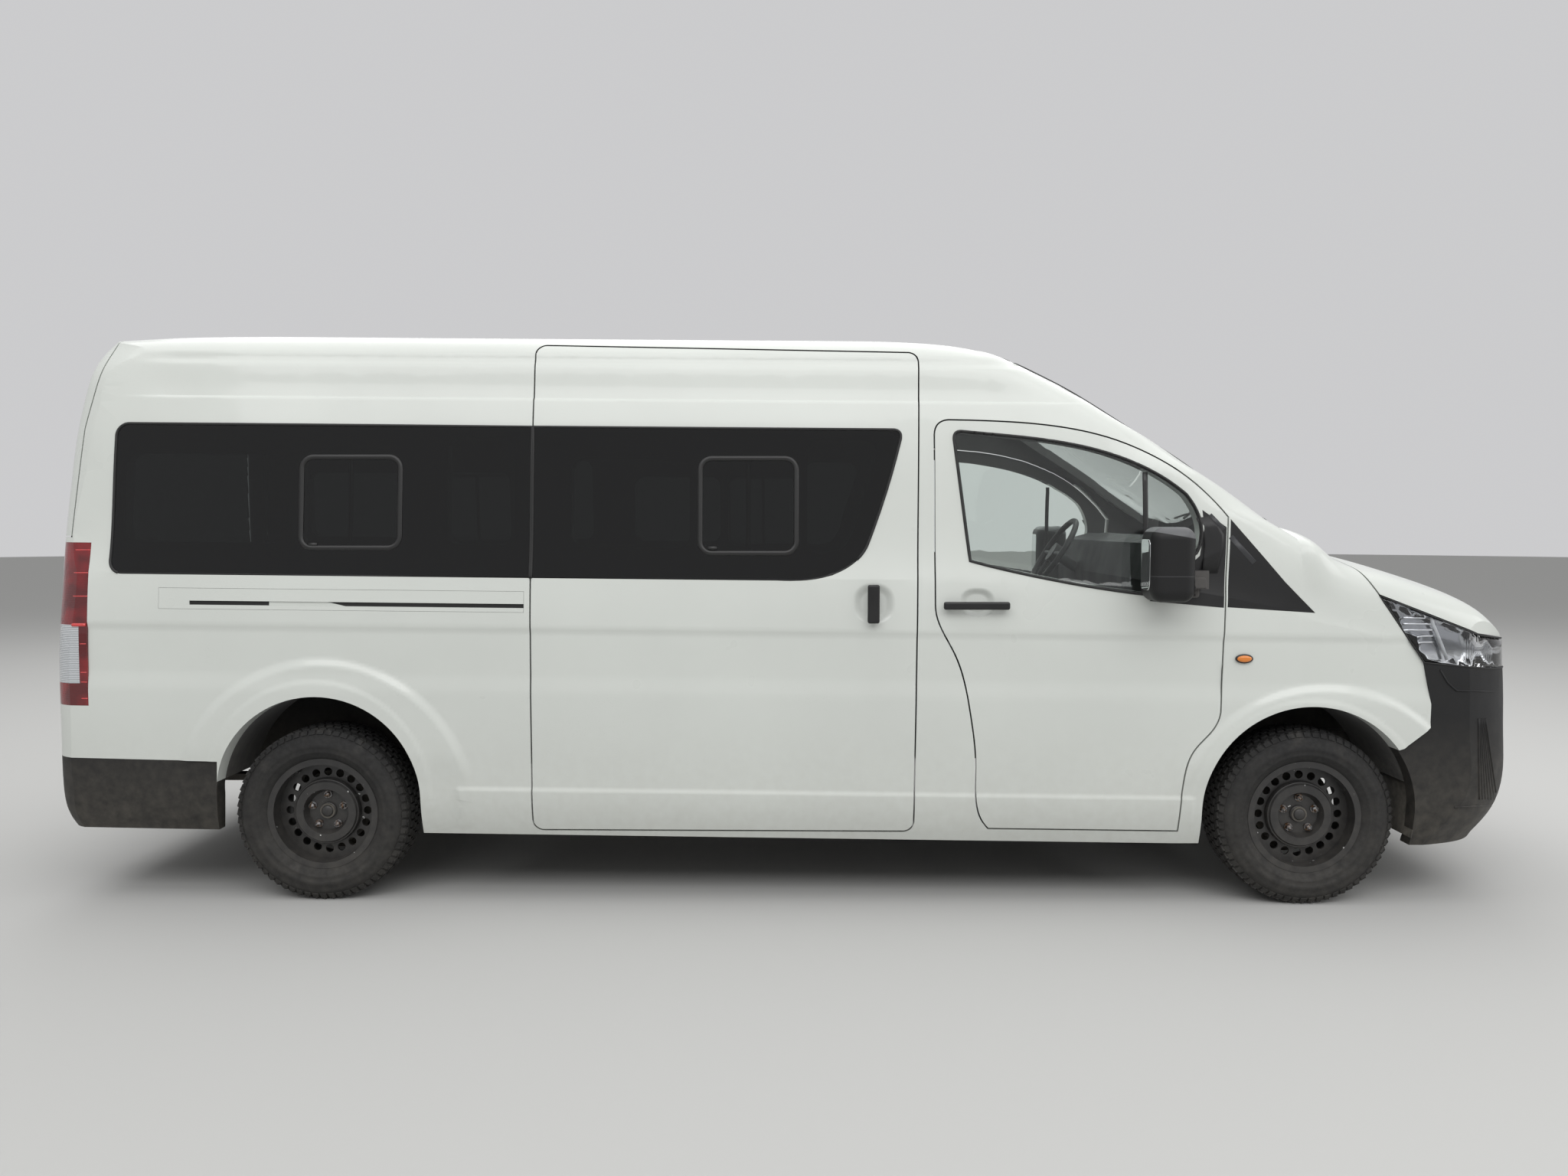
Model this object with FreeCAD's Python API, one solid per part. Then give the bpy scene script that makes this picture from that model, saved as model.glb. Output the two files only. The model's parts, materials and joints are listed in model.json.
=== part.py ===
import FreeCAD
import Part
import math
import os
from FreeCAD import Vector

# Frame: +X to the front, +Y to the left, +Z up, the origin on the ground midway along the body.
# Side outlines are shares of LENGTH from the middle and of HEIGHT above a level line through
# the origin. RAKE then lowers the front and raises the tail, as the empty bus stands.

# Overall sizes
LENGTH = 5915.0
WIDTH = 1950.0
HEIGHT = 2280.0
WHEELBASE = 3860.0
FRONT_OVERHANG = 955.0
RAKE = 0.55

# Cuts and clearances
OVERRUN = 300.0
SHUT_GAP = 6.0
SEAT_GAP = 0.3
SLIVER_SIZE = 50.0
CURVE_POINTS = 25

# Body shell
WALL = 65.0
ROOF_WALL = 44.0
GLASS = 5.0
GLASS_EDGE = 1.0
ROOF_HALF = 640.0
SCREEN_FLANGE = 22.0
WINDOW_FLANGE = 9.0
DOOR_RABBET = 22.0
RABBET_STEP = 12.0
DOOR_CORNER = 45.0
WINDOW_CORNER = 50.0
LAMP_INNER = 800.0
HEADLAMP_INNER = 470.0
GRILLE_BAR = 14.0
GRILLE_BARS = 4

# Gooseneck hinges of the bonnet: radius of the pin and of its eye, sizes of the arm, and place of the pin
HINGE_PIN = 4.0
HINGE_EYE = 7.0
HINGE_SIZE = 34.0
HINGE_BAR = 10.0
HINGE_POCKET = 14.0
HINGE_FREE = 3.0
HINGE_NECK = 45.0
HINGE_ARM = 75.0
HINGE_RISE = 25.0
HINGE_DEPTH = 30.0
HINGE_X = 2086.0
HINGE_Y = 500.0

# Wheels, arches and axles
TRACK = 1675.0
TYRE_RADIUS = 345.0
TYRE_WIDTH = 235.0
RIM_RADIUS = 205.0
RIM_WIDTH = 170.0
RIM_FLANGE = 220.0
RIM_WALL = 9.0
DISC_HOLE = 32.0
DISC_HOLES = 20
DISC_HOLE_CIRCLE = 312.0
HUB_BORE = 60.0
ARCH_RADIUS = 412.0
ARCH_LIFT = 32.0
REAR_ARCH_RADIUS = 402.0
REAR_ARCH_LIFT = 72.0
LINER = 14.0
LINER_LOW = 480.0
FRONT_BAY = 520.0
REAR_WHEELHOUSE = 620.0
AXLE_TUBE = 90.0
DRUM = 300.0
DRUM_WIDTH = 55.0
PUMPKIN = 300.0
SPINDLE_END = 45.0
KINGPIN_INSET = 92.5
UPRIGHT = (70.0, 50.0, 294.0)
ARM_WIDTH = 60.0
ARM_THICKNESS = 20.0
DISC_BRAKE = 290.0
SPRING_LENGTH = 1250.0
SPRING_WIDTH = 60.0
SPRING_THICKNESS = 28.0
SPRING_Y = 500.0

# Underbody
RAIL_INNER = 380.0
RAIL_WIDTH = 80.0
RAIL_HEIGHT = 120.0
CROSSBAR = 60.0
TOWBAR_INSET = 80.0
TOWBAR_SPACING = 100.0
TOWBAR_HOLE = 13.0
JACK_PAD = (90.0, 80.0, 10.0)
JACK_PAD_X = (-1000.0, 1200.0)
ENGINE = (650.0, 560.0, 480.0)
ENGINE_X = 2170.0
ENGINE_CHAMFER = 14.0
TANK = (800.0, 270.0, 190.0)
TANK_X = -500.0
TANK_ROUND = 14.0
EXHAUST_PIPE = 60.0
EXHAUST_DROP = 105.0
EXHAUST_FRONT_X = 1930.0
MUFFLER = (500.0, 170.0)
EXHAUST_Y = -250.0
HANGER = (40.0, 14.0)

# Cabin
FLOOR_TOP = 640.0
FLOOR = 40.0
DOORWAY_HALF = 898.0
FIREWALL_X = 1760.0
FIREWALL = 40.0
FIREWALL_TOP = 1380.0
DASH_WIDTH = 1600.0
SEAT_HEIGHT = 330.0
CUSHION = 130.0
SEAT_WIDTH = 520.0
SEAT_DEPTH = 520.0
SEAT_BACK = 120.0
SEAT_BACK_HEIGHT = 560.0
HEADREST = (90.0, 260.0, 180.0)
FRONT_SEAT_X = 720.0
DRIVER_Y = 430.0
BENCH_WIDTH = 1480.0
BENCH_BACK_HEIGHT = 300.0
BENCH_DEPTH = 430.0
BENCH_SPACING = 750.0
BENCHES = 4
FIRST_BENCH_X = -220.0
WHEEL_RADIUS = 190.0
WHEEL_GRIP = 28.0
SPOKE = 18.0
COLUMN = 50.0
COLUMN_LENGTH = 300.0
COLUMN_TILT = 33.0
HUB_DEPTH = 38.0
HUB_BACK = 25.0
STEERING_CENTRE = (1300.0, 430.0, 1346.0)

# Fittings
HANDLE = (253.0, 24.0, 30.0)
SLIDE_HANDLE = (46.0, 24.0, 148.0)
HANDLE_STAND = 22.0
HANDLE_ROUND = 8.0
MIRROR = (165.0, 190.0, 280.0)
MIRROR_STAND = 28.0
MIRROR_ROUND = 45.0
MIRROR_ARM = (125.0, 63.0, 70.0)

# Wheel disc from its barrel to its hub: radius, and distance out from the middle of the tyre
DISC_OUTER = (
    (195.7, 30.0), (133.0, 30.0), (131.5, 48.0), (120.0, 62.0), (90.0, 62.0), (77.0, 30.0), (30.0, 30.0),
)
DISC_INNER = (
    (195.7, 21.0), (124.0, 21.0), (127.0, 39.0), (113.0, 53.0), (96.0, 53.0), (83.0, 21.0), (30.0, 21.0),
)
# Tyre from its bead to its tread: shares of the rise above the rim and of half its width
TYRE_PROFILE_SHARES = (
    (0.00, 0.723), (0.12, 0.723), (0.45, 1.000), (0.68, 0.985), (0.90, 0.809), (1.00, 0.663),
)

# Half width of the body side at each height, as shares of HEIGHT and of half the WIDTH
SIDE_SHARES = (
    (0.1132, 0.952), (0.149, 0.980), (0.193, 0.993), (0.351, 1.000), (0.439, 1.000), (0.482, 0.994),
    (0.561, 0.979), (0.690, 0.941), (0.811, 0.903), (0.877, 0.880), (0.921, 0.856), (0.965, 0.800),
)

# Stations along the body: place, width, shoulder height, height on the centre line, crown, corner
SALOON_STATION_SHARES = (
    (-0.520, 0.985, 0.561, 0.983, 0.024, 0.068),
    (-0.440, 0.995, 0.561, 0.995, 0.022, 0.068),
    (-0.360, 1.000, 0.561, 1.000, 0.022, 0.068),
    (-0.280, 1.000, 0.561, 1.000, 0.022, 0.068),
    (-0.200, 1.000, 0.561, 1.000, 0.022, 0.068),
    (-0.120, 1.000, 0.561, 1.000, 0.022, 0.068),
    (-0.040, 1.000, 0.561, 1.000, 0.022, 0.068),
    (0.030, 1.000, 0.561, 1.000, 0.022, 0.068),
    (0.085, 1.000, 0.561, 0.997, 0.022, 0.066),
    (0.127, 1.000, 0.561, 0.985, 0.024, 0.062),
)
SCREEN_STATION_SHARES = (
    (0.127, 1.000, 0.561, 0.985, 0.024, 0.062),
    (0.144, 1.000, 0.561, 0.973, 0.026, 0.058),
    (0.161, 1.000, 0.561, 0.953, 0.028, 0.054),
    (0.187, 1.000, 0.557, 0.920, 0.031, 0.048),
    (0.212, 1.000, 0.554, 0.882, 0.034, 0.044),
    (0.264, 1.000, 0.545, 0.797, 0.037, 0.040),
    (0.316, 1.000, 0.520, 0.706, 0.041, 0.036),
    (0.332, 1.000, 0.508, 0.679, 0.038, 0.038),
)
NOSE_STATION_SHARES = (
    (0.332, 1.000, 0.508, 0.679, 0.038, 0.038),
    (0.356, 1.000, 0.490, 0.638, 0.031, 0.044),
    (0.383, 0.998, 0.470, 0.614, 0.031, 0.050),
    (0.410, 0.993, 0.445, 0.593, 0.028, 0.056),
    (0.437, 0.983, 0.420, 0.571, 0.028, 0.060),
    (0.457, 0.970, 0.395, 0.554, 0.036, 0.064),
    (0.473, 0.952, 0.365, 0.536, 0.058, 0.066),
    (0.487, 0.930, 0.330, 0.511, 0.080, 0.066),
    (0.497, 0.910, 0.300, 0.474, 0.096, 0.060),
    (0.507, 0.885, 0.270, 0.417, 0.100, 0.050),
)

SHELL_BOTTOM_SHARE = 0.1132
SILL_MID_SHARE = 0.149
SILL_CREASE_SHARE = 0.193

# End faces in plan: share of the half width, and set-back as a share of LENGTH
NOSE_PLAN_SHARES = (
    (0.00, 0.0000), (0.35, 0.0014), (0.60, 0.0060), (0.75, 0.0135), (0.85, 0.0237),
    (0.92, 0.0363), (0.97, 0.0524), (1.02, 0.0780), (1.08, 0.1200),
)
TAIL_PLAN_SHARES = (
    (0.00, 0.0000), (0.50, 0.0010), (0.82, 0.0034), (0.90, 0.0064), (0.95, 0.0110),
    (0.985, 0.0200), (1.02, 0.0400), (1.08, 0.0800),
)
# End faces on the centre line: height share, nose place and tail place as shares of LENGTH
END_PROFILE_SHARES = (
    (0.080, 0.480, -0.4860), (0.120, 0.487, -0.4930), (0.155, 0.495, -0.4985), (0.200, 0.500, -0.5000),
    (0.285, 0.500, -0.5000), (0.350, 0.499, -0.4998), (0.440, 0.497, -0.4992), (0.530, 0.497, -0.4975),
    (0.620, 0.497, -0.4965), (0.730, 0.497, -0.4940), (0.810, 0.497, -0.4914), (0.880, 0.497, -0.4870),
    (0.922, 0.497, -0.4835), (0.957, 0.497, -0.4780), (0.980, 0.497, -0.4690), (1.010, 0.497, -0.4450),
    (1.050, 0.497, -0.4000),
)

# Outlines on the side of the body, from the tail forwards and then round
SLIDING_DOOR_SHARES = ((-0.1724, 0.962), (0.0845, 0.953), (0.0806, 0.128), (-0.1724, 0.1215))
FRONT_DOOR_SHARES = (
    ((0.0930, 0.520), (0.0930, 0.809)),
    ((0.0930, 0.809), (0.0958, 0.828), (0.1033, 0.8355)),
    ((0.1033, 0.8355), (0.1586, 0.830), (0.2085, 0.807), (0.2582, 0.743), (0.2854, 0.6725)),
    ((0.2854, 0.6725), (0.2822, 0.511), (0.2800, 0.342)),
    ((0.2800, 0.342), (0.2765, 0.316), (0.2637, 0.276), (0.2563, 0.210), (0.2544, 0.135)),
    ((0.2544, 0.135), (0.1292, 0.135)),
    ((0.1292, 0.135), (0.1243, 0.151), (0.1200, 0.245), (0.1160, 0.337), (0.1107, 0.402),
     (0.1047, 0.441), (0.0950, 0.490), (0.0930, 0.520)),
)
DOOR_WINDOW_SHARES = (
    ((0.1163, 0.593), (0.1062, 0.800)),
    ((0.1062, 0.800), (0.1075, 0.812), (0.1120, 0.815)),
    ((0.1120, 0.815), (0.1584, 0.804), (0.2083, 0.779), (0.2333, 0.753), (0.2578, 0.711)),
    ((0.2578, 0.711), (0.2650, 0.680), (0.2676, 0.652), (0.2642, 0.611)),
    ((0.2642, 0.611), (0.2316, 0.539)),
    ((0.2316, 0.539), (0.1322, 0.583), (0.1163, 0.593)),
)
BAND_SHARES = ((-0.4500, 0.8165), (-0.1500, 0.8165), (-0.1500, 0.5580), (-0.4515, 0.5580))
DOOR_BAND_SHARES = (
    ((-0.2200, 0.5580), (-0.2200, 0.8165)),
    ((-0.2200, 0.8165), (0.0655, 0.8165)),
    ((0.0655, 0.8165), (0.0708, 0.8125), (0.0712, 0.7960)),
    ((0.0712, 0.7960), (0.0653, 0.7390), (0.0499, 0.6210)),
    ((0.0499, 0.6210), (0.0473, 0.6080), (0.0323, 0.5750), (0.0073, 0.5585), (-0.0100, 0.5580)),
    ((-0.0100, 0.5580), (-0.2200, 0.5580)),
)
REAR_PANE_SHARES = (
    ((-0.4431, 0.765), (-0.3347, 0.765), (-0.3347, 0.613), (-0.4431, 0.613)),
    ((-0.3249, 0.768), (-0.2593, 0.768), (-0.2593, 0.604), (-0.3249, 0.604)),
    ((-0.2279, 0.798), (-0.1836, 0.798), (-0.1836, 0.613), (-0.2279, 0.613)),
)
DOOR_PANE_SHARES = (
    ((-0.1456, 0.762), (-0.0676, 0.762), (-0.0676, 0.611), (-0.1456, 0.611)),
    ((-0.0607, 0.764), (0.0027, 0.764), (0.0027, 0.602), (-0.0607, 0.602)),
    ((0.0098, 0.799), (0.0587, 0.799), (0.0400, 0.640), (0.0330, 0.611), (0.0098, 0.600)),
)
FENDER_SHARES = (
    (0.2544, 0.080), (0.2544, 0.351), (0.2874, 0.351), (0.2874, 0.614), (0.3035, 0.618),
    (0.3180, 0.672), (0.3620, 0.780), (0.5300, 0.780), (0.5300, 0.080),
)
BONNET_SHARES = (
    (0.3570, 0.800), (0.3570, 0.640), (0.3816, 0.542), (0.4478, 0.477), (0.5200, 0.452), (0.5200, 0.800),
)
HEADLAMP_SHARES = (
    (0.3816, 0.542), (0.4107, 0.430), (0.4580, 0.419), (0.5200, 0.408), (0.5200, 0.452), (0.4478, 0.477),
)
BUMPER_SHARES = (
    (0.3800, 0.080), (0.3800, 0.270), (0.3985, 0.285), (0.4160, 0.320), (0.4162, 0.360),
    (0.4107, 0.430), (0.4580, 0.419), (0.5200, 0.408), (0.5200, 0.080),
)
SAIL_SHARES = ((0.2864, 0.669), (0.3207, 0.564), (0.3400, 0.512), (0.2832, 0.520))
REAR_BUMPER_SHARES = ((-0.5300, 0.080), (-0.5300, 0.240), (-0.3800, 0.237), (-0.3850, 0.080))
BACK_DOOR_SHARES = (
    (-0.4590, 1.080), (-0.4590, 0.962), (-0.4730, 0.808), (-0.4785, 0.626), (-0.4785, 0.2390),
    (-0.5300, 0.2400), (-0.5300, 1.080),
)
TAIL_LAMP_SHARES = ((-0.4650, 0.610), (-0.4660, 0.330), (-0.5300, 0.330), (-0.5300, 0.610))
BACK_DOOR_STEP_SHARE = 0.618
WINDSHIELD_SHARES = (
    ((0.1403, 0.00), (0.1425, 0.46), (0.1480, 0.64), (0.1570, 0.735)),
    ((0.1570, 0.735), (0.2367, 0.765), (0.3090, 0.790)),
    ((0.3090, 0.790), (0.3210, 0.740), (0.3330, 0.440), (0.3370, 0.00)),
)
COWL_SHARES = ((0.3160, 0.70), (0.3570, 0.70))
DOOR_SAIL_SHARES = (
    (0.2325, 0.529), (0.2660, 0.606), (0.2690, 0.652), (0.2680, 0.684), (0.2836, 0.655), (0.2808, 0.519),
)
TRACK_COVER_SHARES = ((-0.4176, 0.5345), (-0.1760, 0.5345), (-0.1760, 0.4985), (-0.4176, 0.4985))
TRACK_SLOT_SHARES = ((-0.3970, 0.5130), (-0.1700, 0.5130), (-0.1700, 0.5060), (-0.3970, 0.5060))

GRILLE_SHARES = ((-0.46, 0.285), (0.46, 0.285), (0.46, 0.395), (-0.46, 0.395))
INTAKE_SHARES = ((-0.56, 0.165), (0.56, 0.165), (0.56, 0.225), (-0.56, 0.225))
BACK_GLASS_SHARES = ((-0.78, 0.575), (0.78, 0.575), (0.70, 0.815), (-0.70, 0.815))
DASH_SHARES = (
    (0.2400, 0.400), (0.2380, 0.560), (0.2450, 0.625), (0.2650, 0.640), (0.2976, 0.620), (0.2976, 0.400),
)
MIRROR_PLACE_SHARE = (0.2387, 0.593)
PANE_SHARE = 0.998
HANDLE_PLACE_SHARE = (0.1197, 0.519)
SLIDE_HANDLE_PLACE_SHARE = (0.0529, 0.520)
ROOF_SPLIT_SHARE = 0.7
NOSE_DEPTH_SHARE = 0.44
BACK_DEPTH_SHARE = 0.45
HANGER_SHARE = 0.4
PLINTH_SHARE = 0.333
SEAT_LEAN_SHARE = 0.2

SLOPE = math.tan(math.radians(RAKE))
HALF = WIDTH / 2
FRONT_AXLE_X = LENGTH / 2 - FRONT_OVERHANG
REAR_AXLE_X = FRONT_AXLE_X - WHEELBASE
WHEEL_Y = TRACK / 2
KINGPIN_Y = WHEEL_Y - KINGPIN_INSET
FLOOR_BOTTOM = FLOOR_TOP - FLOOR


def level(x, z):
    """Height above the ground of a point at level height z, at place x on the raked body."""
    return z - x * SLOPE


def half_width(z, table=SIDE_SHARES):
    """Half width of the body side at level height z."""
    share = z / HEIGHT
    if share <= table[0][0]:
        return table[0][1] * HALF
    for (low, narrow), (high, wide) in zip(table, table[1:]):
        if share <= high:
            return (narrow + (wide - narrow) * (share - low) / (high - low)) * HALF
    return table[-1][1] * HALF


def spline(points):
    """One smooth edge through the points."""
    curve = Part.BSplineCurve()
    curve.interpolate(points)
    return curve.toShape()


def line(a, b):
    return Part.LineSegment(a, b).toShape()


def station(x, width, shoulder, top, crown, corner, inset, drop):
    """Closed section of the body at place x, set in by inset and carried down by drop."""
    roof_inset = inset * ROOF_WALL / WALL
    bottom = SHELL_BOTTOM_SHARE * HEIGHT - drop
    high = top - roof_inset
    eave = high - crown - corner

    def at(z):
        return half_width(z) * width - inset

    crease = SILL_CREASE_SHARE * HEIGHT
    tuck = SILL_MID_SHARE * HEIGHT
    sill = [(at(bottom), bottom), (at(tuck), tuck), (at(crease), crease)]
    rise = shoulder - crease
    side = [(at(crease + rise * k / 3), crease + rise * k / 3) for k in range(4)]
    middle = (shoulder + eave) / 2
    flat = at(eave) - corner
    over = [
        (at(shoulder), shoulder), (at(middle), middle), (at(eave), eave),
        (at(eave) - corner * (1 - math.cos(math.pi / 4)), eave + corner * math.sin(math.pi / 4)),
        (flat, high - crown), (flat / 2, high - crown / 4), (0, high),
    ]

    def right(pairs):
        return [Vector(x, -y, level(x, z)) for y, z in pairs]

    def left(pairs):
        return [Vector(x, y, level(x, z)) for y, z in reversed(pairs)]

    edges = [
        spline(right(sill)), spline(right(side)), spline(right(over) + left(over)[1:]),
        spline(left(side)), spline(left(sill)),
        line(left(sill)[-1], right(sill)[0]),
    ]
    return Part.Wire(edges)


def run_of_body(shares, inset, drop):
    """A length of the body lofted through its stations."""
    wires = []
    for x, width, shoulder, top, crown, corner in shares:
        wires.append(station(x * LENGTH, width, shoulder * HEIGHT, top * HEIGHT, crown * HEIGHT,
                             corner * HEIGHT, inset, drop))
    return Part.makeLoft(wires, True, False)


def end_block(inset):
    """The block whose front and back faces are the nose and the tail."""
    wires = []
    for z_share, nose, tail in END_PROFILE_SHARES:
        z = z_share * HEIGHT
        half = half_width(z) - inset
        front = [Vector((nose - back) * LENGTH - inset, y * half, z) for y, back in NOSE_PLAN_SHARES]
        rear = [Vector((tail + back) * LENGTH + inset, y * half, z) for y, back in TAIL_PLAN_SHARES]
        front = [Vector(p.x, -p.y, p.z) for p in reversed(front)] + front[1:]
        rear = [Vector(p.x, -p.y, p.z) for p in reversed(rear)] + rear[1:]
        wires.append(Part.Wire([spline(front), line(front[-1], rear[-1]), spline(rear[::-1]),
                                line(rear[0], front[0])]))
    return Part.makeLoft(wires, True, False)


def body_form(inset, drop=0.0):
    """The whole outer form of the body, or the same form set in from it."""
    form = run_of_body(SALOON_STATION_SHARES, inset, drop)
    form = form.fuse(run_of_body(SCREEN_STATION_SHARES, inset, drop))
    form = form.fuse(run_of_body(NOSE_STATION_SHARES, inset, drop))
    return form.common(end_block(inset))


def spot(share, y=0):
    """A point of a side outline on the raked body."""
    x = share[0] * LENGTH
    return Vector(x, y, level(x, share[1] * HEIGHT))


def side_wire(runs):
    """Closed side outline of runs of points: two points make a line, more make a curve."""
    edges = []
    for run in runs:
        points = [spot(share) for share in run]
        edges.append(line(*points) if len(points) == 2 else spline(points))
    return Part.Wire(edges)


def rounded_wire(corners, radius):
    """Closed polygon with a round of that radius at each corner."""
    edges = []
    starts = []
    ends = []
    count = len(corners)
    for k in range(count):
        before, here, after = corners[k - 1], corners[k], corners[(k + 1) % count]
        back = (before - here).normalize()
        on = (after - here).normalize()
        half_angle = math.acos(max(-1, min(1, back.dot(on)))) / 2
        reach = radius / math.tan(half_angle)
        middle = here + (back + on).normalize() * (radius / math.sin(half_angle) - radius)
        starts.append(here + back * reach)
        ends.append(here + on * reach)
        edges.append(Part.Arc(starts[-1], middle, ends[-1]).toShape())
    joined = []
    for k in range(count):
        joined.append(edges[k])
        joined.append(line(ends[k], starts[(k + 1) % count]))
    return Part.Wire(joined)


def side_polygon(shares, radius=0):
    points = [spot(share) for share in shares]
    if radius:
        return rounded_wire(points, radius)
    return Part.makePolygon(points + points[:1])


def grown(wire, by):
    """The outline moved out by that much, or in where it is negative."""
    edges = []
    for edge in wire.makeOffset2D(by, 2 if by > 0 else 0).OrderedEdges:
        straight = edge.Curve.TypeId in ("Part::GeomLine", "Part::GeomCircle")
        edges.append(edge if straight else spline(edge.discretize(CURVE_POINTS)))
    return Part.Wire(Part.__sortEdges__(edges))


def prism(wire, start, reach):
    """The outline moved by start and swept by reach."""
    face = Part.Face(wire)
    face.translate(start)
    return face.extrude(reach)


def right_prism(wire, inner=0.0):
    """The side outline swept across the right half of the bus, from inner outwards."""
    return prism(wire, Vector(0, -inner, 0), Vector(0, -HALF - OVERRUN + inner, 0))


def through_prism(wire):
    """The side outline swept across the whole width."""
    return prism(wire, Vector(0, -HALF - OVERRUN, 0), Vector(0, WIDTH + 2 * OVERRUN, 0))


def block(low, high):
    size = Vector(*high) - Vector(*low)
    return Part.makeBox(size.x, size.y, size.z, Vector(*low))


def mirrored(shape):
    return shape.mirror(Vector(0, 0, 0), Vector(0, 1, 0))


def both_sides(shape):
    return Part.makeCompound([shape, mirrored(shape)])


def tidy(shape):
    """The solids of a shape, without slivers."""
    solids = [s for s in shape.Solids if s.Volume > SLIVER_SIZE ** 3]
    return solids[0] if len(solids) == 1 else Part.makeCompound(solids)


def turned(profile, centre, axis, angle=360):
    """Solid of revolution of a closed list of points about an axis through centre."""
    face = Part.Face(Part.makePolygon(profile + profile[:1]))
    return face.revolve(centre, axis, angle)


def rod(a, b, radius):
    """Round bar from a to b."""
    return Part.makeCylinder(radius, (b - a).Length, a, b - a)


def arch(x, radius, lift, y_in, y_out, more=0.0):
    """Right wheel opening: a round top on straight sides down past the ground."""
    z = TYRE_RADIUS + lift
    wide = radius + more
    top = Part.makeCylinder(wide, y_out - y_in, Vector(x, -y_in, z), Vector(0, -1, 0))
    return top.fuse(Part.makeBox(2 * wide, y_out - y_in, z + OVERRUN, Vector(x - wide, -y_out, -OVERRUN)))


def front_arch(y_in, y_out, more=0.0):
    return arch(FRONT_AXLE_X, ARCH_RADIUS, ARCH_LIFT, y_in, y_out, more)


def rear_arch(y_in, y_out, more=0.0):
    return arch(REAR_AXLE_X, REAR_ARCH_RADIUS, REAR_ARCH_LIFT, y_in, y_out, more)


def middle(half):
    """Everything within half of the centre line."""
    return block((-LENGTH, -half, -HEIGHT), (LENGTH, half, 2 * HEIGHT))


def outside(half):
    """Everything on the right that lies further out than half."""
    return block((-LENGTH, -WIDTH, -HEIGHT), (LENGTH, -half, 2 * HEIGHT))


def end_prism(shares, radius, x_from, x_to):
    """An outline seen from the front or the back, swept along the bus."""
    lift = level(x_from, 0)
    corners = [Vector(x_from, y * HALF, z * HEIGHT + lift) for y, z in shares]
    return prism(rounded_wire(corners, radius), Vector(0, 0, 0), Vector(x_to - x_from, 0, 0))


def screen_prism(by=0.0):
    """The windshield outline, seen from above, swept upwards."""
    edges = []
    for side in (-HALF, HALF):
        for run in WINDSHIELD_SHARES:
            edges.append(spline([Vector(x * LENGTH, y * side, 0) for x, y in run]))
    wire = Part.Wire(Part.__sortEdges__(edges))
    if by:
        wire = grown(wire, by)
    return prism(wire, Vector(0, 0, HEIGHT / 2), Vector(0, 0, HEIGHT))


def cowl_block():
    (x_back, half), (x_front, _) = COWL_SHARES
    return block((x_back * LENGTH, -half * HALF, HEIGHT / 2), (x_front * LENGTH, half * HALF, HEIGHT))


def back_door_region(gap=0.0):
    """The back door's part of the tail: full width above the lamps, narrower between them."""
    wire = side_polygon(BACK_DOOR_SHARES)
    if gap:
        wire = grown(wire, -gap)
    step = level(-LENGTH / 2, BACK_DOOR_STEP_SHARE * HEIGHT) + gap
    cheek = block((-LENGTH, -WIDTH, -HEIGHT), (0, -LAMP_INNER + gap, step))
    return through_prism(wire).cut(cheek)


def bumper_region():
    """The front bumper's part of the nose, with the strip between the headlamps."""
    strip = through_prism(side_polygon(HEADLAMP_SHARES)).common(middle(HEADLAMP_INNER))
    return through_prism(side_polygon(BUMPER_SHARES)).fuse(strip)


def whole(half):
    """A centre piece from its right half."""
    return tidy(half.fuse(mirrored(half)))


class Body:
    """The right half of the body, in its outer form and set in by each layer."""

    def __init__(self):
        right = block((-LENGTH, -WIDTH, -HEIGHT), (LENGTH, 0, 2 * HEIGHT))
        self.outer = body_form(0).common(right)
        self.under_glass = body_form(GLASS, OVERRUN).common(right)
        self.under_skin = body_form(DOOR_RABBET, OVERRUN).common(right)
        self.inner = body_form(WALL, OVERRUN).common(right)
        self.shell = self.outer.cut(self.inner)
        self.screen_seat = self.seat(screen_prism())
        self.front_opening = right_prism(side_wire(FRONT_DOOR_SHARES), FRONT_BAY)

    def seat(self, region):
        """The recess that a flush pane or plate lies in."""
        return self.outer.common(region).cut(self.under_glass)

    def leaf(self, outline):
        """A door as thick as the wall, its inner part stepped back from the shut line."""
        blank = self.shell.common(right_prism(grown(outline, -SHUT_GAP), FRONT_BAY))
        core = blank.common(right_prism(grown(outline, -SHUT_GAP - RABBET_STEP), FRONT_BAY))
        return blank.cut(self.under_skin).fuse(core.common(self.under_skin))

    def pane(self, outline):
        """A flush pane or plate that fills an outline on the right."""
        return tidy(self.seat(right_prism(grown(outline, -GLASS_EDGE), FRONT_BAY)))


def side_openings(shares):
    return [right_prism(side_polygon(pane, WINDOW_CORNER), FRONT_BAY) for pane in shares]


def hinge_place(body):
    """Centre of the right bonnet hinge's pin, under the skin of the cowl."""
    upright = line(Vector(HINGE_X, -HINGE_Y, 0), Vector(HINGE_X, -HINGE_Y, 2 * HEIGHT))
    return Vector(HINGE_X, -HINGE_Y, body.outer.common(upright).BoundBox.ZMax - HINGE_DEPTH)


def hinge_pocket(place):
    """Space under the skin of the cowl for one hinge, with its level pin left across it."""
    y_low = place.y - HINGE_SIZE / 2 - HINGE_FREE
    y_high = place.y + HINGE_SIZE / 2 + HINGE_FREE
    space = block((place.x - HINGE_POCKET, y_low, place.z - WALL),
                  (place.x + HINGE_ARM, y_high, place.z + HINGE_EYE + HINGE_FREE))
    return space.cut(rod(Vector(place.x, y_low, place.z), Vector(place.x, y_high, place.z), HINGE_PIN))


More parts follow.
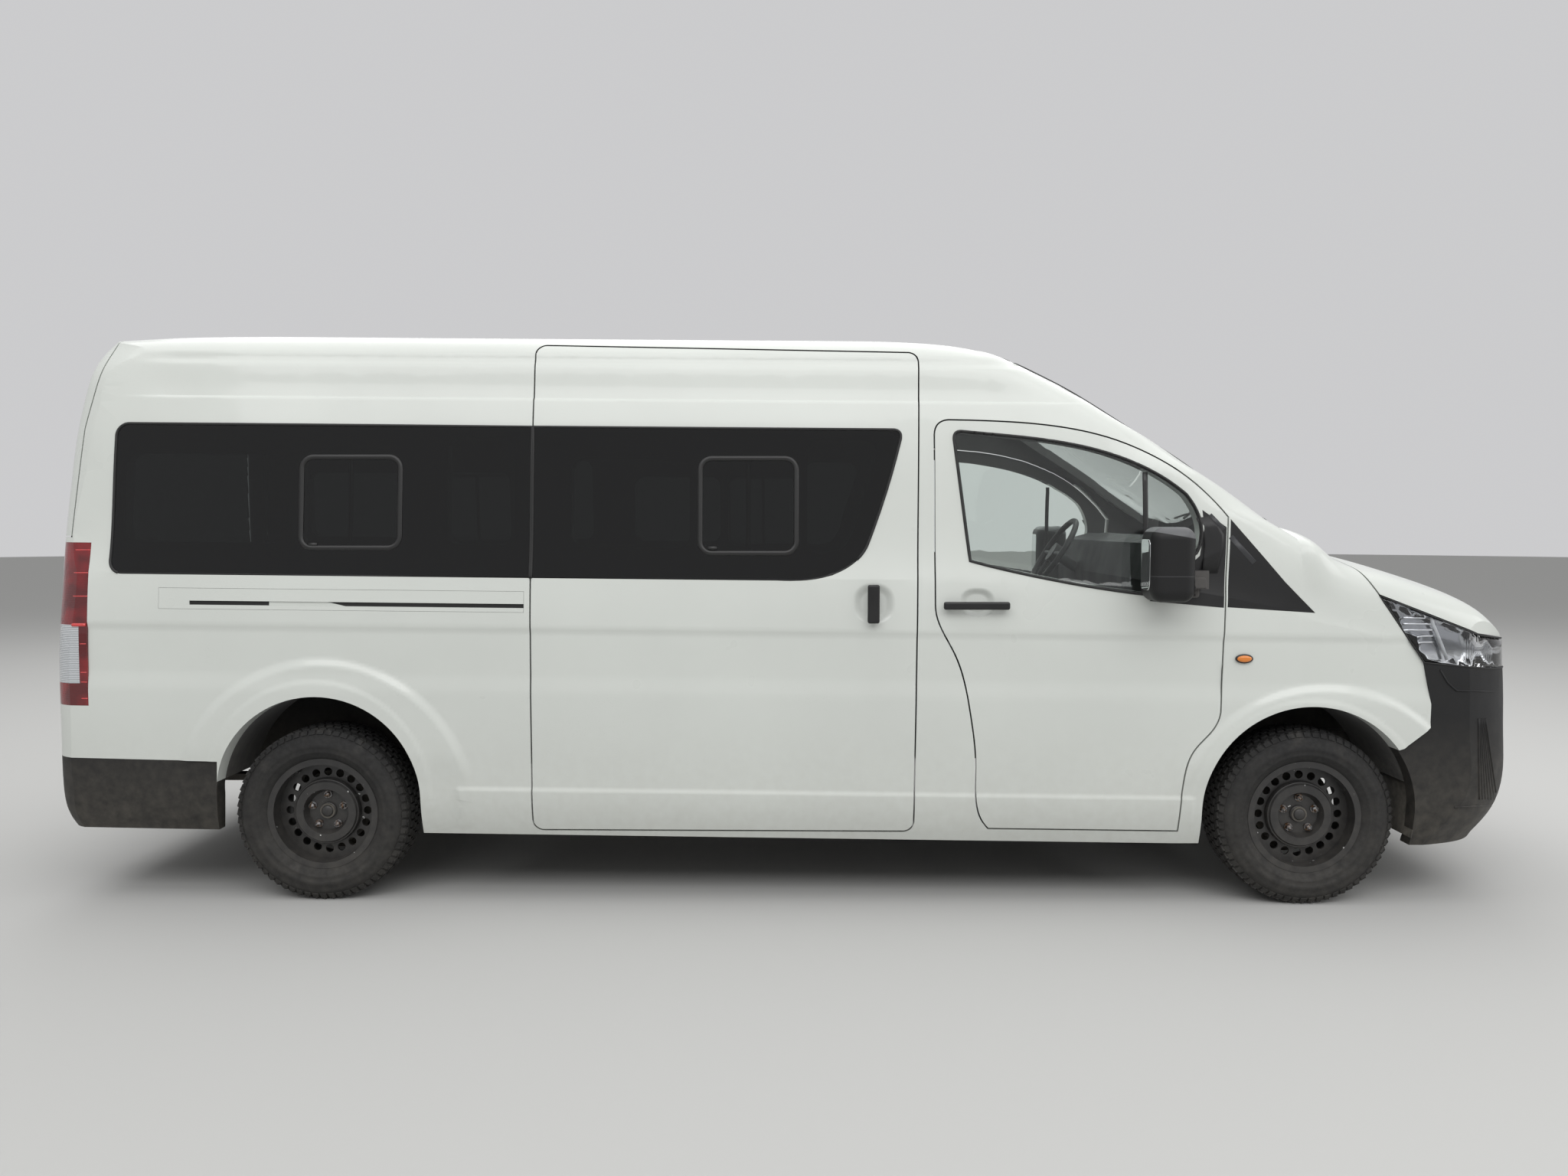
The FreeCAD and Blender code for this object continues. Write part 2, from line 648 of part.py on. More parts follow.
def hinge_lug(place):
    """Gooseneck of the bonnet: eye, neck going down, arm going forward and a rise into the lid."""
    y_low = place.y - HINGE_SIZE / 2
    y_high = place.y + HINGE_SIZE / 2
    half = HINGE_BAR / 2
    turn = place.z - HINGE_NECK
    tip = place.x + HINGE_ARM
    eye = rod(Vector(place.x, y_low, place.z), Vector(place.x, y_high, place.z), HINGE_EYE)
    neck = block((place.x - half, y_low, turn - half), (place.x + half, y_high, place.z))
    arm = block((place.x, y_low, turn - half), (tip, y_high, turn + half))
    riser = block((tip, y_low, turn - half), (tip + HINGE_BAR, y_high, place.z - HINGE_RISE))
    hole = rod(Vector(place.x, y_low, place.z), Vector(place.x, y_high, place.z), HINGE_PIN + SEAT_GAP)
    return eye.fuse([neck, arm, riser]).cut(hole)


def side_panel(body, long_band):
    """One body side: tail corner, quarter, sill, pillars and the frame of the front door."""
    panel = body.shell.common(outside(ROOF_HALF))
    cutters = [
        right_prism(side_polygon(FENDER_SHARES)), body.front_opening, screen_prism(-SCREEN_FLANGE),
        body.screen_seat, back_door_region(), cowl_block(), through_prism(side_polygon(BONNET_SHARES)),
        through_prism(side_polygon(TAIL_LAMP_SHARES)).common(outside(LAMP_INNER)),
        through_prism(side_polygon(REAR_BUMPER_SHARES)), rear_arch(REAR_WHEELHOUSE, WIDTH),
        body.seat(right_prism(side_polygon(BAND_SHARES, WINDOW_CORNER))),
        body.seat(right_prism(side_polygon(SAIL_SHARES))),
    ]
    cutters += side_openings(REAR_PANE_SHARES)
    if long_band:
        cutters.append(body.seat(right_prism(side_wire(DOOR_BAND_SHARES))))
        cutters += side_openings(DOOR_PANE_SHARES)
    else:
        cutters.append(right_prism(side_polygon(SLIDING_DOOR_SHARES, DOOR_CORNER), FRONT_BAY))
        cutters.append(body.seat(right_prism(side_polygon(TRACK_COVER_SHARES))))
    return tidy(panel.cut(cutters))


def roof_panel(body):
    roof = body.shell.common(block((-LENGTH, -ROOF_HALF, HEIGHT * ROOF_SPLIT_SHARE),
                                   (FRONT_AXLE_X * ROOF_SPLIT_SHARE, 0, 2 * HEIGHT)))
    return whole(roof.cut([back_door_region(), screen_prism(-SCREEN_FLANGE), body.screen_seat]))


def cowl_panel(body):
    cowl = body.shell.common(cowl_block())
    return whole(cowl.cut([screen_prism(-SCREEN_FLANGE), body.screen_seat, hinge_pocket(hinge_place(body))]))


def fender(body):
    """Right front wing, from the door to the headlamp and the bumper."""
    wing = body.shell.common(right_prism(side_polygon(FENDER_SHARES), FRONT_BAY))
    return tidy(wing.cut([
        body.front_opening, screen_prism(-SCREEN_FLANGE), body.screen_seat, cowl_block(),
        through_prism(side_polygon(BONNET_SHARES)), bumper_region(), front_arch(FRONT_BAY, WIDTH),
        through_prism(side_polygon(HEADLAMP_SHARES)).common(outside(HEADLAMP_INNER)),
        body.seat(right_prism(side_polygon(SAIL_SHARES))),
    ]))


def bonnet(body):
    """The bonnet on its two hinges."""
    lid = body.shell.common(through_prism(grown(side_polygon(BONNET_SHARES), -SHUT_GAP)))
    return whole(lid.fuse(hinge_lug(hinge_place(body))))


def headlamp(body):
    outline = grown(side_polygon(HEADLAMP_SHARES), -SEAT_GAP)
    return tidy(body.shell.common(through_prism(outline)).common(outside(HEADLAMP_INNER + SEAT_GAP)))


def tail_lamp(body):
    outline = grown(side_polygon(TAIL_LAMP_SHARES), -SEAT_GAP)
    return tidy(body.shell.common(through_prism(outline)).common(outside(LAMP_INNER + SEAT_GAP)))


def nose_opening(shares):
    return end_prism(shares, GRILLE_BAR, LENGTH * NOSE_DEPTH_SHARE, LENGTH)


def front_bumper(body):
    """The black nose below the lamps, open at the grille and at the lower intake."""
    nose = body.shell.common(bumper_region())
    nose = nose.cut([front_arch(FRONT_BAY, WIDTH), nose_opening(GRILLE_SHARES), nose_opening(INTAKE_SHARES)])
    return whole(nose)


def grille(body):
    """Level bars across the nose openings, joined by one upright on each side of the middle."""
    bars = []
    for shares, count in ((GRILLE_SHARES, GRILLE_BARS), (INTAKE_SHARES, GRILLE_BARS // 2)):
        (y_share, low), (_, high) = shares[0], shares[2]
        x_back = LENGTH * NOSE_DEPTH_SHARE
        half = -y_share * HALF
        low_z = level(x_back, low * HEIGHT)
        high_z = level(x_back, high * HEIGHT)
        pitch = (high_z - low_z) / count
        solids = []
        for k in range(count):
            z = low_z + pitch * (k + 0.5)
            solids.append(block((x_back, -half, z - GRILLE_BAR / 2), (LENGTH, 0, z + GRILLE_BAR / 2)))
        side = -half / 2
        upright = block((x_back, side - GRILLE_BAR / 2, low_z), (LENGTH, side + GRILLE_BAR / 2, high_z))
        bars.append(upright.fuse(solids))
    set_back = body.under_skin.cut(body.inner)
    return Part.makeCompound([whole(set_back.common(group)) for group in bars])


def rear_bumper(body):
    skirt = body.shell.common(through_prism(side_polygon(REAR_BUMPER_SHARES)))
    return whole(skirt.cut(rear_arch(REAR_WHEELHOUSE, WIDTH)))


def back_window_prism(by):
    shares = [(y + math.copysign(by / HALF, y), z) for y, z in BACK_GLASS_SHARES]
    return end_prism(shares, WINDOW_CORNER, -LENGTH * BACK_DEPTH_SHARE, -LENGTH)


def back_door(body):
    """The lifting tailgate, with its window seat."""
    door = body.shell.common(back_door_region(SHUT_GAP))
    return whole(door.cut([body.seat(back_window_prism(0)), back_window_prism(-SCREEN_FLANGE)]))


def back_glass(body):
    return whole(body.seat(back_window_prism(-GLASS_EDGE)))


def windshield(body):
    return whole(body.seat(screen_prism(-GLASS_EDGE)))


def front_door(body):
    """Right front door, with the seats of its glass and of the black plate."""
    door = body.leaf(side_wire(FRONT_DOOR_SHARES))
    window = side_wire(DOOR_WINDOW_SHARES)
    return tidy(door.cut([
        body.seat(right_prism(window)), right_prism(grown(window, -WINDOW_FLANGE), FRONT_BAY),
        body.seat(right_prism(side_polygon(DOOR_SAIL_SHARES))),
    ]))


def sliding_door(body):
    door = body.leaf(side_polygon(SLIDING_DOOR_SHARES, DOOR_CORNER))
    band = body.seat(right_prism(side_wire(DOOR_BAND_SHARES)))
    return tidy(door.cut([band] + side_openings(DOOR_PANE_SHARES)))


def side_windows(body):
    """The flush bands: right quarter, right sliding door, and the whole left side."""
    door_line = right_prism(grown(side_polygon(SLIDING_DOOR_SHARES, DOOR_CORNER), -SHUT_GAP))
    outline = side_wire(DOOR_BAND_SHARES)
    outline = outline.scaled(PANE_SHARE, outline.BoundBox.Center)
    door_band = body.seat(right_prism(outline, FRONT_BAY))
    split = SLIDING_DOOR_SHARES[0][0] * LENGTH
    quarter = body.pane(side_polygon(BAND_SHARES, WINDOW_CORNER)).common(
        block((-LENGTH, -WIDTH, 0), (split, 0, HEIGHT)))
    left = quarter.fuse(door_band.common(block((split, -WIDTH, 0), (LENGTH, 0, HEIGHT))))
    return Part.makeCompound([tidy(quarter), tidy(door_band.common(door_line)), mirrored(tidy(left))])


def track_cover(body):
    """Cover strip over the sliding door's rail, with the slot that the door arm runs in."""
    strip = body.pane(side_polygon(TRACK_COVER_SHARES))
    return tidy(strip.cut(right_prism(side_polygon(TRACK_SLOT_SHARES))))


def floor_pan(body):
    """Floor and firewall, open at the wheels and set in at the front doors."""
    tail = -LENGTH / 2 + WALL + FLOOR
    slab = block((tail, -HALF, FLOOR_BOTTOM), (FIREWALL_X + FIREWALL, 0, FLOOR_TOP))
    wall = block((FIREWALL_X, -HALF, FLOOR_BOTTOM), (FIREWALL_X + FIREWALL, 0, FIREWALL_TOP))
    floor = slab.fuse(wall).common(body.inner)
    doorway = block((FRONT_DOOR_SHARES[0][0][0] * LENGTH - SHUT_GAP, -WIDTH, -HEIGHT),
                    (FRONT_AXLE_X - ARCH_RADIUS, -DOORWAY_HALF, HEIGHT))
    return whole(floor.cut([front_arch(FRONT_BAY - LINER, WIDTH, LINER), doorway,
                            rear_arch(REAR_WHEELHOUSE - LINER, WIDTH, LINER)]))


def arch_liners(body):
    """Thin wheelhouses over each wheel, the rear ones closed on their inner side."""
    front = front_arch(FRONT_BAY, WIDTH, LINER).cut(front_arch(0, WIDTH))
    rear = rear_arch(REAR_WHEELHOUSE - LINER, WIDTH, LINER).cut(rear_arch(REAR_WHEELHOUSE, WIDTH))
    above = block((-LENGTH, -WIDTH, LINER_LOW), (LENGTH, 0, HEIGHT))
    liners = [tidy(piece.common(body.inner).common(above)) for piece in (front, rear)]
    return Part.makeCompound(liners + [mirrored(piece) for piece in liners])


def rails():
    """Two rails under the floor, with engine crossbars, jacking pads and tow bar holes."""
    low = FLOOR_BOTTOM - RAIL_HEIGHT
    rear = -LENGTH / 2 + WALL + FLOOR
    front = LENGTH / 2 - WALL - FLOOR
    side = -RAIL_INNER - RAIL_WIDTH
    rail = block((rear, side, low), (front, -RAIL_INNER, FLOOR_BOTTOM))
    for k in range(2):
        hole = Vector(rear + TOWBAR_INSET + k * TOWBAR_SPACING, side, FLOOR_BOTTOM - RAIL_HEIGHT / 2)
        rail = rail.cut(rod(hole, hole + Vector(0, RAIL_WIDTH, 0), TOWBAR_HOLE / 2))
    for x in (ENGINE_X - ENGINE[0] / 4, ENGINE_X + ENGINE[0] / 4):
        rail = rail.fuse(block((x, side, low), (x + CROSSBAR, 0, low + CROSSBAR)))
    long, wide, deep = JACK_PAD
    for x in JACK_PAD_X:
        rail = rail.fuse(block((x - long / 2, side, low - deep), (x + long / 2, side + wide, low)))
    return whole(rail)


def engine_block():
    """Plain block in place of the engine, on the two crossbars."""
    length, width, height = ENGINE
    low = FLOOR_BOTTOM - RAIL_HEIGHT + CROSSBAR
    shape = block((ENGINE_X - length / 2, -width / 2, low), (ENGINE_X + length / 2, width / 2, low + height))
    return shape.makeChamfer(ENGINE_CHAMFER, shape.Edges)


def front_suspension():
    """Crossmember with upper and lower arms, whose end plates carry the kingpins."""
    low = TYRE_RADIUS - UPRIGHT[2] / 2 - SEAT_GAP
    high = TYRE_RADIUS + UPRIGHT[2] / 2 + SEAT_GAP
    x_back = FRONT_AXLE_X - ARM_WIDTH / 2
    x_front = FRONT_AXLE_X + ARM_WIDTH / 2
    tip = -KINGPIN_Y - ARM_WIDTH / 2
    beam = block((x_back, -RAIL_INNER - RAIL_WIDTH, low - ARM_THICKNESS), (x_front, 0, low + ARM_WIDTH))
    lower = block((x_back, tip, low - ARM_THICKNESS), (x_front, 0, low))
    riser = block((x_back, -RAIL_INNER - RAIL_WIDTH, low), (x_front, -RAIL_INNER, FLOOR_BOTTOM - RAIL_HEIGHT))
    upper = block((x_back, tip, high), (x_front, -RAIL_INNER - RAIL_WIDTH, high + ARM_THICKNESS))
    lower_side = whole(beam.fuse([lower, riser]))
    return Part.makeCompound([lower_side, upper, mirrored(upper)])


def knuckle():
    """Right upright with its spindle and brake disc; it turns on the kingpins."""
    depth, thickness, height = UPRIGHT
    centre = Vector(FRONT_AXLE_X, -KINGPIN_Y, TYRE_RADIUS)
    upright = block((centre.x - depth / 2, centre.y - thickness / 2, centre.z - height / 2),
                    (centre.x + depth / 2, centre.y + thickness / 2, centre.z + height / 2))
    spindle = rod(centre, Vector(centre.x, -WHEEL_Y - SPINDLE_END, centre.z), HUB_BORE / 2 - SEAT_GAP)
    disc_y = centre.y - thickness / 2
    face = Vector(centre.x, disc_y, centre.z)
    disc = rod(face, face - Vector(0, RIM_WALL, 0), DISC_BRAKE / 2)
    return upright.fuse([spindle, disc])


def rear_axle():
    """Beam axle with its drive housing, drums and spindles."""
    centre = Vector(REAR_AXLE_X, 0, TYRE_RADIUS)
    drum_y = WHEEL_Y - RIM_WIDTH / 2
    tube = rod(centre, centre - Vector(0, drum_y, 0), AXLE_TUBE / 2)
    drum = rod(centre - Vector(0, drum_y, 0), centre - Vector(0, drum_y + DRUM_WIDTH, 0), DRUM / 2)
    spindle = rod(centre, centre - Vector(0, WHEEL_Y + SPINDLE_END, 0), HUB_BORE / 2 - SEAT_GAP)
    housing = Part.makeSphere(PUMPKIN / 2, centre)
    half = tube.fuse([drum, spindle, housing.common(outside(0))])
    return whole(half)


def leaf_springs():
    """One spring on each side, resting on the axle and hung from the floor at both ends."""
    half = SPRING_LENGTH / 2
    low = TYRE_RADIUS + AXLE_TUBE / 2
    y_out = -SPRING_Y - SPRING_WIDTH / 2
    y_in = -SPRING_Y + SPRING_WIDTH / 2
    top = low + SPRING_THICKNESS
    pack = block((REAR_AXLE_X - half, y_out, low), (REAR_AXLE_X + half, y_in, top))
    hangers = []
    for x in (REAR_AXLE_X - half, REAR_AXLE_X + half - SPRING_WIDTH):
        hangers.append(block((x, y_out, low), (x + SPRING_WIDTH, y_in, FLOOR_BOTTOM)))
    return both_sides(pack.fuse(hangers))


def fuel_tank():
    length, width, height = TANK
    y_in = EXHAUST_PIPE
    tank = block((TANK_X - length / 2, y_in, FLOOR_BOTTOM - height),
                 (TANK_X + length / 2, y_in + width, FLOOR_BOTTOM))
    lower_edges = [e for e in tank.Edges if e.BoundBox.ZMax < FLOOR_BOTTOM - TANK_ROUND]
    return tank.makeFillet(TANK_ROUND, lower_edges)


def exhaust():
    """Pipe from the engine with one silencer, hung from the floor."""
    z = FLOOR_BOTTOM - EXHAUST_DROP
    front = Vector(EXHAUST_FRONT_X, EXHAUST_Y, z)
    engine_low = FLOOR_BOTTOM - RAIL_HEIGHT + CROSSBAR
    pipe = rod(Vector(-LENGTH / 2 + WALL + FLOOR, EXHAUST_Y, z), front, EXHAUST_PIPE / 2)
    riser = rod(front, Vector(front.x, front.y, engine_low), EXHAUST_PIPE / 2)
    box = rod(Vector(TANK_X - MUFFLER[0], EXHAUST_Y, z), Vector(TANK_X, EXHAUST_Y, z), MUFFLER[1] / 2)
    hangers = []
    for x in (-LENGTH * HANGER_SHARE, 0, FIREWALL_X - WALL):
        hangers.append(block((x, EXHAUST_Y - HANGER[1] / 2, z),
                             (x + HANGER[0], EXHAUST_Y + HANGER[1] / 2, FLOOR_BOTTOM)))
    return pipe.fuse([riser, box] + hangers)


def tyre(x, side):
    """Plain tyre, round about its axle; side is -1 on the right and 1 on the left."""
    rise = TYRE_RADIUS - RIM_RADIUS
    profile = [(RIM_RADIUS + rise * up, TYRE_WIDTH / 2 * wide) for up, wide in TYRE_PROFILE_SHARES]
    points = [Vector(x, side * WHEEL_Y - w, TYRE_RADIUS + r) for r, w in profile]
    points += [Vector(x, side * WHEEL_Y + w, TYRE_RADIUS + r) for r, w in reversed(profile)]
    return turned(points, Vector(x, 0, TYRE_RADIUS), Vector(0, 1, 0))


def rim(x, side):
    """Steel wheel: barrel, dished disc with a ring of round holes, and a hub bore."""
    half = RIM_WIDTH / 2
    outer = RIM_RADIUS - SEAT_GAP
    inner = outer - RIM_WALL
    lip = half + RIM_WALL
    profile = [(outer, -half), (RIM_FLANGE, -half - SEAT_GAP), (RIM_FLANGE, -lip), (inner, -lip)]
    profile += list(DISC_INNER) + list(reversed(DISC_OUTER))
    profile += [(inner, lip), (RIM_FLANGE, lip), (RIM_FLANGE, half + SEAT_GAP), (outer, half)]
    centre = Vector(x, side * WHEEL_Y, TYRE_RADIUS)
    points = [centre + Vector(0, side * w, r) for r, w in profile]
    wheel = turned(points, centre, Vector(0, 1, 0))
    ring = DISC_HOLE_CIRCLE / 2
    holes = []
    for k in range(DISC_HOLES):
        turn = 2 * math.pi * k / DISC_HOLES
        start = centre + Vector(ring * math.cos(turn), 0, ring * math.sin(turn))
        holes.append(rod(start, start + Vector(0, side * half, 0), DISC_HOLE / 2))
    return wheel.cut(holes)


def seat_solid(x, y, width, back_height, depth, headrest):
    """Seat with its plinth, cushion, leaning back and, in front, headrest."""
    floor = FLOOR_TOP + SEAT_GAP
    top = FLOOR_TOP + SEAT_HEIGHT
    foot_depth = depth * PLINTH_SHARE
    foot_width = width * PLINTH_SHARE
    plinth = block((x - foot_depth, y - foot_width, floor), (x + foot_depth, y + foot_width, top - CUSHION))
    cushion = block((x - depth / 2, y - width / 2, top - CUSHION), (x + depth / 2, y + width / 2, top))
    lean = depth * SEAT_LEAN_SHARE
    foot = x - depth / 2
    back = [
        Vector(foot, y - width / 2, top - CUSHION), Vector(foot + SEAT_BACK, y - width / 2, top - CUSHION),
        Vector(foot + SEAT_BACK - lean, y - width / 2, top + back_height),
        Vector(foot - lean, y - width / 2, top + back_height),
    ]
    back = Part.Face(Part.makePolygon(back + back[:1])).extrude(Vector(0, width, 0))
    seat = plinth.fuse([cushion, back])
    if headrest:
        deep, wide, tall = HEADREST
        low = top + back_height
        rear = foot - lean
        seat = seat.fuse(block((rear, y - wide / 2, low), (rear + deep, y + wide / 2, low + tall)))
    return seat.removeSplitter()


def front_seats():
    driver = seat_solid(FRONT_SEAT_X, DRIVER_Y, SEAT_WIDTH, SEAT_BACK_HEIGHT, SEAT_DEPTH, True)
    return both_sides(driver)


def benches():
    """Rows of low-backed benches behind the front seats."""
    rows = []
    for k in range(BENCHES):
        x = FIRST_BENCH_X - k * BENCH_SPACING
        width = BENCH_WIDTH
        if abs(x - REAR_AXLE_X) < REAR_ARCH_RADIUS + BENCH_DEPTH:
            width = 2 * (REAR_WHEELHOUSE - LINER) - FLOOR
        rows.append(seat_solid(x, 0, width, BENCH_BACK_HEIGHT, BENCH_DEPTH, False))
    return Part.makeCompound(rows)


def dashboard():
    """Dash board on the firewall, with the fixed steering column."""
    points = [spot(share, -DASH_WIDTH / 2) for share in DASH_SHARES]
    points = [Vector(min(p.x, FIREWALL_X), p.y, p.z) for p in points]
    board = Part.Face(Part.makePolygon(points + points[:1])).extrude(Vector(0, DASH_WIDTH, 0))
    centre = Vector(*STEERING_CENTRE)
    axis = column_axis()
    column = rod(centre - axis * COLUMN_LENGTH, centre - axis * (HUB_BACK + SEAT_GAP), COLUMN / 2)
    return board.fuse(column)


def column_axis():
    """Direction of the steering column, towards the driver."""
    tilt = math.radians(COLUMN_TILT)
    return Vector(-math.cos(tilt), 0, math.sin(tilt))


def steering_wheel():
    """Rim, hub and three spokes in one piece."""
    centre = Vector(*STEERING_CENTRE)
    axis = column_axis()
    grip = Part.makeTorus(WHEEL_RADIUS, WHEEL_GRIP / 2, centre, axis)
    hub = rod(centre - axis * HUB_BACK, centre + axis * (HUB_DEPTH - HUB_BACK), COLUMN)
    up = Vector(math.sin(math.radians(COLUMN_TILT)), 0, math.cos(math.radians(COLUMN_TILT)))
    side = Vector(0, 1, 0)
    spokes = []
    for direction in (side, -side, -up):
        spokes.append(rod(centre, centre + direction * WHEEL_RADIUS, SPOKE / 2))
    return grip.fuse([hub] + spokes)


def side_y(z):
    """Outer face of the right body side at level height z."""
    return -half_width(z)


def door_handle(body, place, size):
    """Pull handle on two feet against the right body side."""
    length, thickness, height = size
    x = place[0] * LENGTH
    z = level(x, place[1] * HEIGHT)
    y = side_y(place[1] * HEIGHT) - HANDLE_STAND
    bar = block((x - length / 2, y - thickness, z - height / 2), (x + length / 2, y, z + height / 2))
    bar = bar.makeFillet(HANDLE_ROUND, bar.Edges)
    reach = max(length, height) / 2 - thickness
    half = thickness / 2
    feet = []
    for sign in (-1, 1):
        foot_x, foot_z = (x + sign * reach, z) if length > height else (x, z + sign * reach)
        feet.append(block((foot_x - half, y - half, foot_z - half), (foot_x + half, y + WALL, foot_z + half)))
    return tidy(bar.fuse([foot.cut(body.outer) for foot in feet]))


def mirror(body):
    """Right door mirror on its arm, with the black plate behind it."""
    length, depth, height = MIRROR
    x = MIRROR_PLACE_SHARE[0] * LENGTH
    z = level(x, MIRROR_PLACE_SHARE[1] * HEIGHT)
    y = side_y(MIRROR_PLACE_SHARE[1] * HEIGHT) - MIRROR_STAND
    case = block((x - length / 2, y - depth, z - height / 2), (x + length / 2, y, z + height / 2))
    case = case.makeFillet(MIRROR_ROUND, case.Edges)
    long, deep, tall = MIRROR_ARM
    front = x + length
    low = z - height / 2 + MIRROR_ROUND
    arm = block((front - long, y - deep, low), (front, y + MIRROR_STAND + WALL, low + tall)).cut(body.outer)
    return tidy(body.pane(side_polygon(DOOR_SAIL_SHARES)).fuse([case, arm]))


def main():
    os.makedirs("parts", exist_ok=True)
    body = Body()
    plate = side_polygon(SAIL_SHARES)
    pieces = {
        "side_panel_right": side_panel(body, False),
        "side_panel_left": mirrored(side_panel(body, True)),
        "roof_panel": roof_panel(body),
        "cowl_and_plates": Part.makeCompound([cowl_panel(body), both_sides(body.pane(plate))]),
        "bonnet": bonnet(body),
        "headlamps": both_sides(headlamp(body)),
        "tail_lamps": both_sides(tail_lamp(body)),
        "front_bumper": front_bumper(body),
        "grille": grille(body),
        "rear_bumper": rear_bumper(body),
        "back_door": back_door(body),
        "back_door_glass": back_glass(body),
        "windshield": windshield(body),
        "sliding_door": sliding_door(body),
        "side_windows": side_windows(body),
        "track_cover": track_cover(body),
        "sliding_door_handle": door_handle(body, SLIDE_HANDLE_PLACE_SHARE, SLIDE_HANDLE),
        "floor_pan": floor_pan(body),
        "arch_liners": arch_liners(body),
        "chassis_rails": rails(),
        "engine_block": engine_block(),
        "front_suspension": front_suspension(),
        "rear_axle": rear_axle(),
        "leaf_springs": leaf_springs(),
        "tank_and_exhaust": Part.makeCompound([fuel_tank(), exhaust()]),
        "front_seats": front_seats(),
        "benches": benches(),
        "dashboard": dashboard(),
        "steering_wheel": steering_wheel(),
    }
    wing = fender(body)
    leaf = front_door(body)
    glass = body.pane(side_wire(DOOR_WINDOW_SHARES))
    sided = {
        "fender": wing, "front_door": leaf, "front_door_glass": glass, "knuckle": knuckle(),
        "door_fittings": Part.makeCompound([door_handle(body, HANDLE_PLACE_SHARE, HANDLE), mirror(body)]),
    }
    for name, shape in sided.items():
        pieces[name + "_right"] = shape
        pieces[name + "_left"] = mirrored(shape)
    for end, x in (("front", FRONT_AXLE_X), ("rear", REAR_AXLE_X)):
        for hand, side in (("right", -1), ("left", 1)):
            pieces["tyre_" + end + "_" + hand] = tyre(x, side)
            pieces["rim_" + end + "_" + hand] = rim(x, side)
    for name, shape in pieces.items():
        shape.exportStep("parts/" + name + ".step")


main()
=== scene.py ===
import json
import math

import bmesh
import bpy
from mathutils import Matrix, Vector
from mathutils.bvhtree import BVHTree


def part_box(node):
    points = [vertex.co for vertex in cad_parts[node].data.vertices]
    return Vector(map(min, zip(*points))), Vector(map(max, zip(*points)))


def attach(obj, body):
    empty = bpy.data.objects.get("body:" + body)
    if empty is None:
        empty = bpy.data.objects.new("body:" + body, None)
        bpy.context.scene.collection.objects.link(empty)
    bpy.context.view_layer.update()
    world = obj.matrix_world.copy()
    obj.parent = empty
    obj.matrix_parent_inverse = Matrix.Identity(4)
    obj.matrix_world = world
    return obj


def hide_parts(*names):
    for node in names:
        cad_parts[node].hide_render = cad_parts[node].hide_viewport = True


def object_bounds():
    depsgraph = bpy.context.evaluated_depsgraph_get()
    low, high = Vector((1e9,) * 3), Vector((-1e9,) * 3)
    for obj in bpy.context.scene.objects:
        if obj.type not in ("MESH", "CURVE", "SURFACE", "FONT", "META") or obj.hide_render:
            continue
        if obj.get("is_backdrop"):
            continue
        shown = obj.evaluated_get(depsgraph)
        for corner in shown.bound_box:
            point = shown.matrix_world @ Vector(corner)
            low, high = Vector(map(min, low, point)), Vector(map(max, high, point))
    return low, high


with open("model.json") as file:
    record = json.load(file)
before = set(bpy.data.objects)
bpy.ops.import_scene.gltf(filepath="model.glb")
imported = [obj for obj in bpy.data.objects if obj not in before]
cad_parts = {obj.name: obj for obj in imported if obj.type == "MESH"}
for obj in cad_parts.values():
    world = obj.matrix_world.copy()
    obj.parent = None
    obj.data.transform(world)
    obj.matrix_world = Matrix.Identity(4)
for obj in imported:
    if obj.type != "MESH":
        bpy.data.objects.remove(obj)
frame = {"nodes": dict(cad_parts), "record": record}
cad = frame["nodes"]
cad_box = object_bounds()

# The bus stands on level wheels with its body a little nose down, as an empty one does, so places
# on the body are given along it and up from a line that leans with it.
NOSE_DOWN = math.tan(math.radians(0.55))


def lean(x):
    """How far the body is lowered at x."""
    return -x * NOSE_DOWN


# The camera stands square to the right side of the bus, at eye height and a little behind its
# middle. Its lens is a wide one, so both ends of the bus are seen slightly from outside.
CAMERA_PLACE = (0.035, -5.507, 1.488)
CAMERA_TURN = math.radians(0.84)
CAMERA_DROP = math.radians(3.09)
CAMERA_LENS = 27.035
camera = bpy.data.objects.new("camera", bpy.data.cameras.new("camera"))
camera.data.lens = CAMERA_LENS
camera.location = CAMERA_PLACE
camera.rotation_euler = (math.pi / 2 - CAMERA_DROP, 0, CAMERA_TURN)
bpy.context.scene.collection.objects.link(camera)
bpy.context.scene.camera = camera
bpy.context.scene.view_settings.view_transform = "Standard"

# The studio is a pale floor in a pale room, lit by broad soft lamps overhead and on each side.
# Only the camera, gloss and glass see the room's own colour, the bus is lit by a dimmer one.
ROOM_COLOUR = (0.60, 0.60, 0.61, 1)
ROOM_LIGHT = 0.50
FLOOR_COLOUR = (0.50, 0.50, 0.49, 1)
FLOOR_RADIUS = 60
LAMPS = (
    ("lamp_above", (0.0, 0.0, 7.0), (0.0, 0.0, 0.0), 14, 9, 400),
    ("lamp_right", (0.5, -9.0, 8.2), (0.0, 0.0, 0.9), 16, 5, 640),
    ("lamp_left", (-0.5, 9.0, 8.2), (0.0, 0.0, 0.9), 16, 5, 520),
    ("lamp_front", (10.0, -3.0, 4.0), (2.0, 0.0, 1.0), 7, 4, 150),
)
world = bpy.data.worlds.new("room")
world.use_nodes = True
bpy.context.scene.world = world
room = world.node_tree
soft = room.nodes["Background"]
soft.inputs["Color"].default_value = (1, 1, 1, 1)
soft.inputs["Strength"].default_value = ROOM_LIGHT
shown = room.nodes.new("ShaderNodeBackground")
shown.inputs["Color"].default_value = ROOM_COLOUR
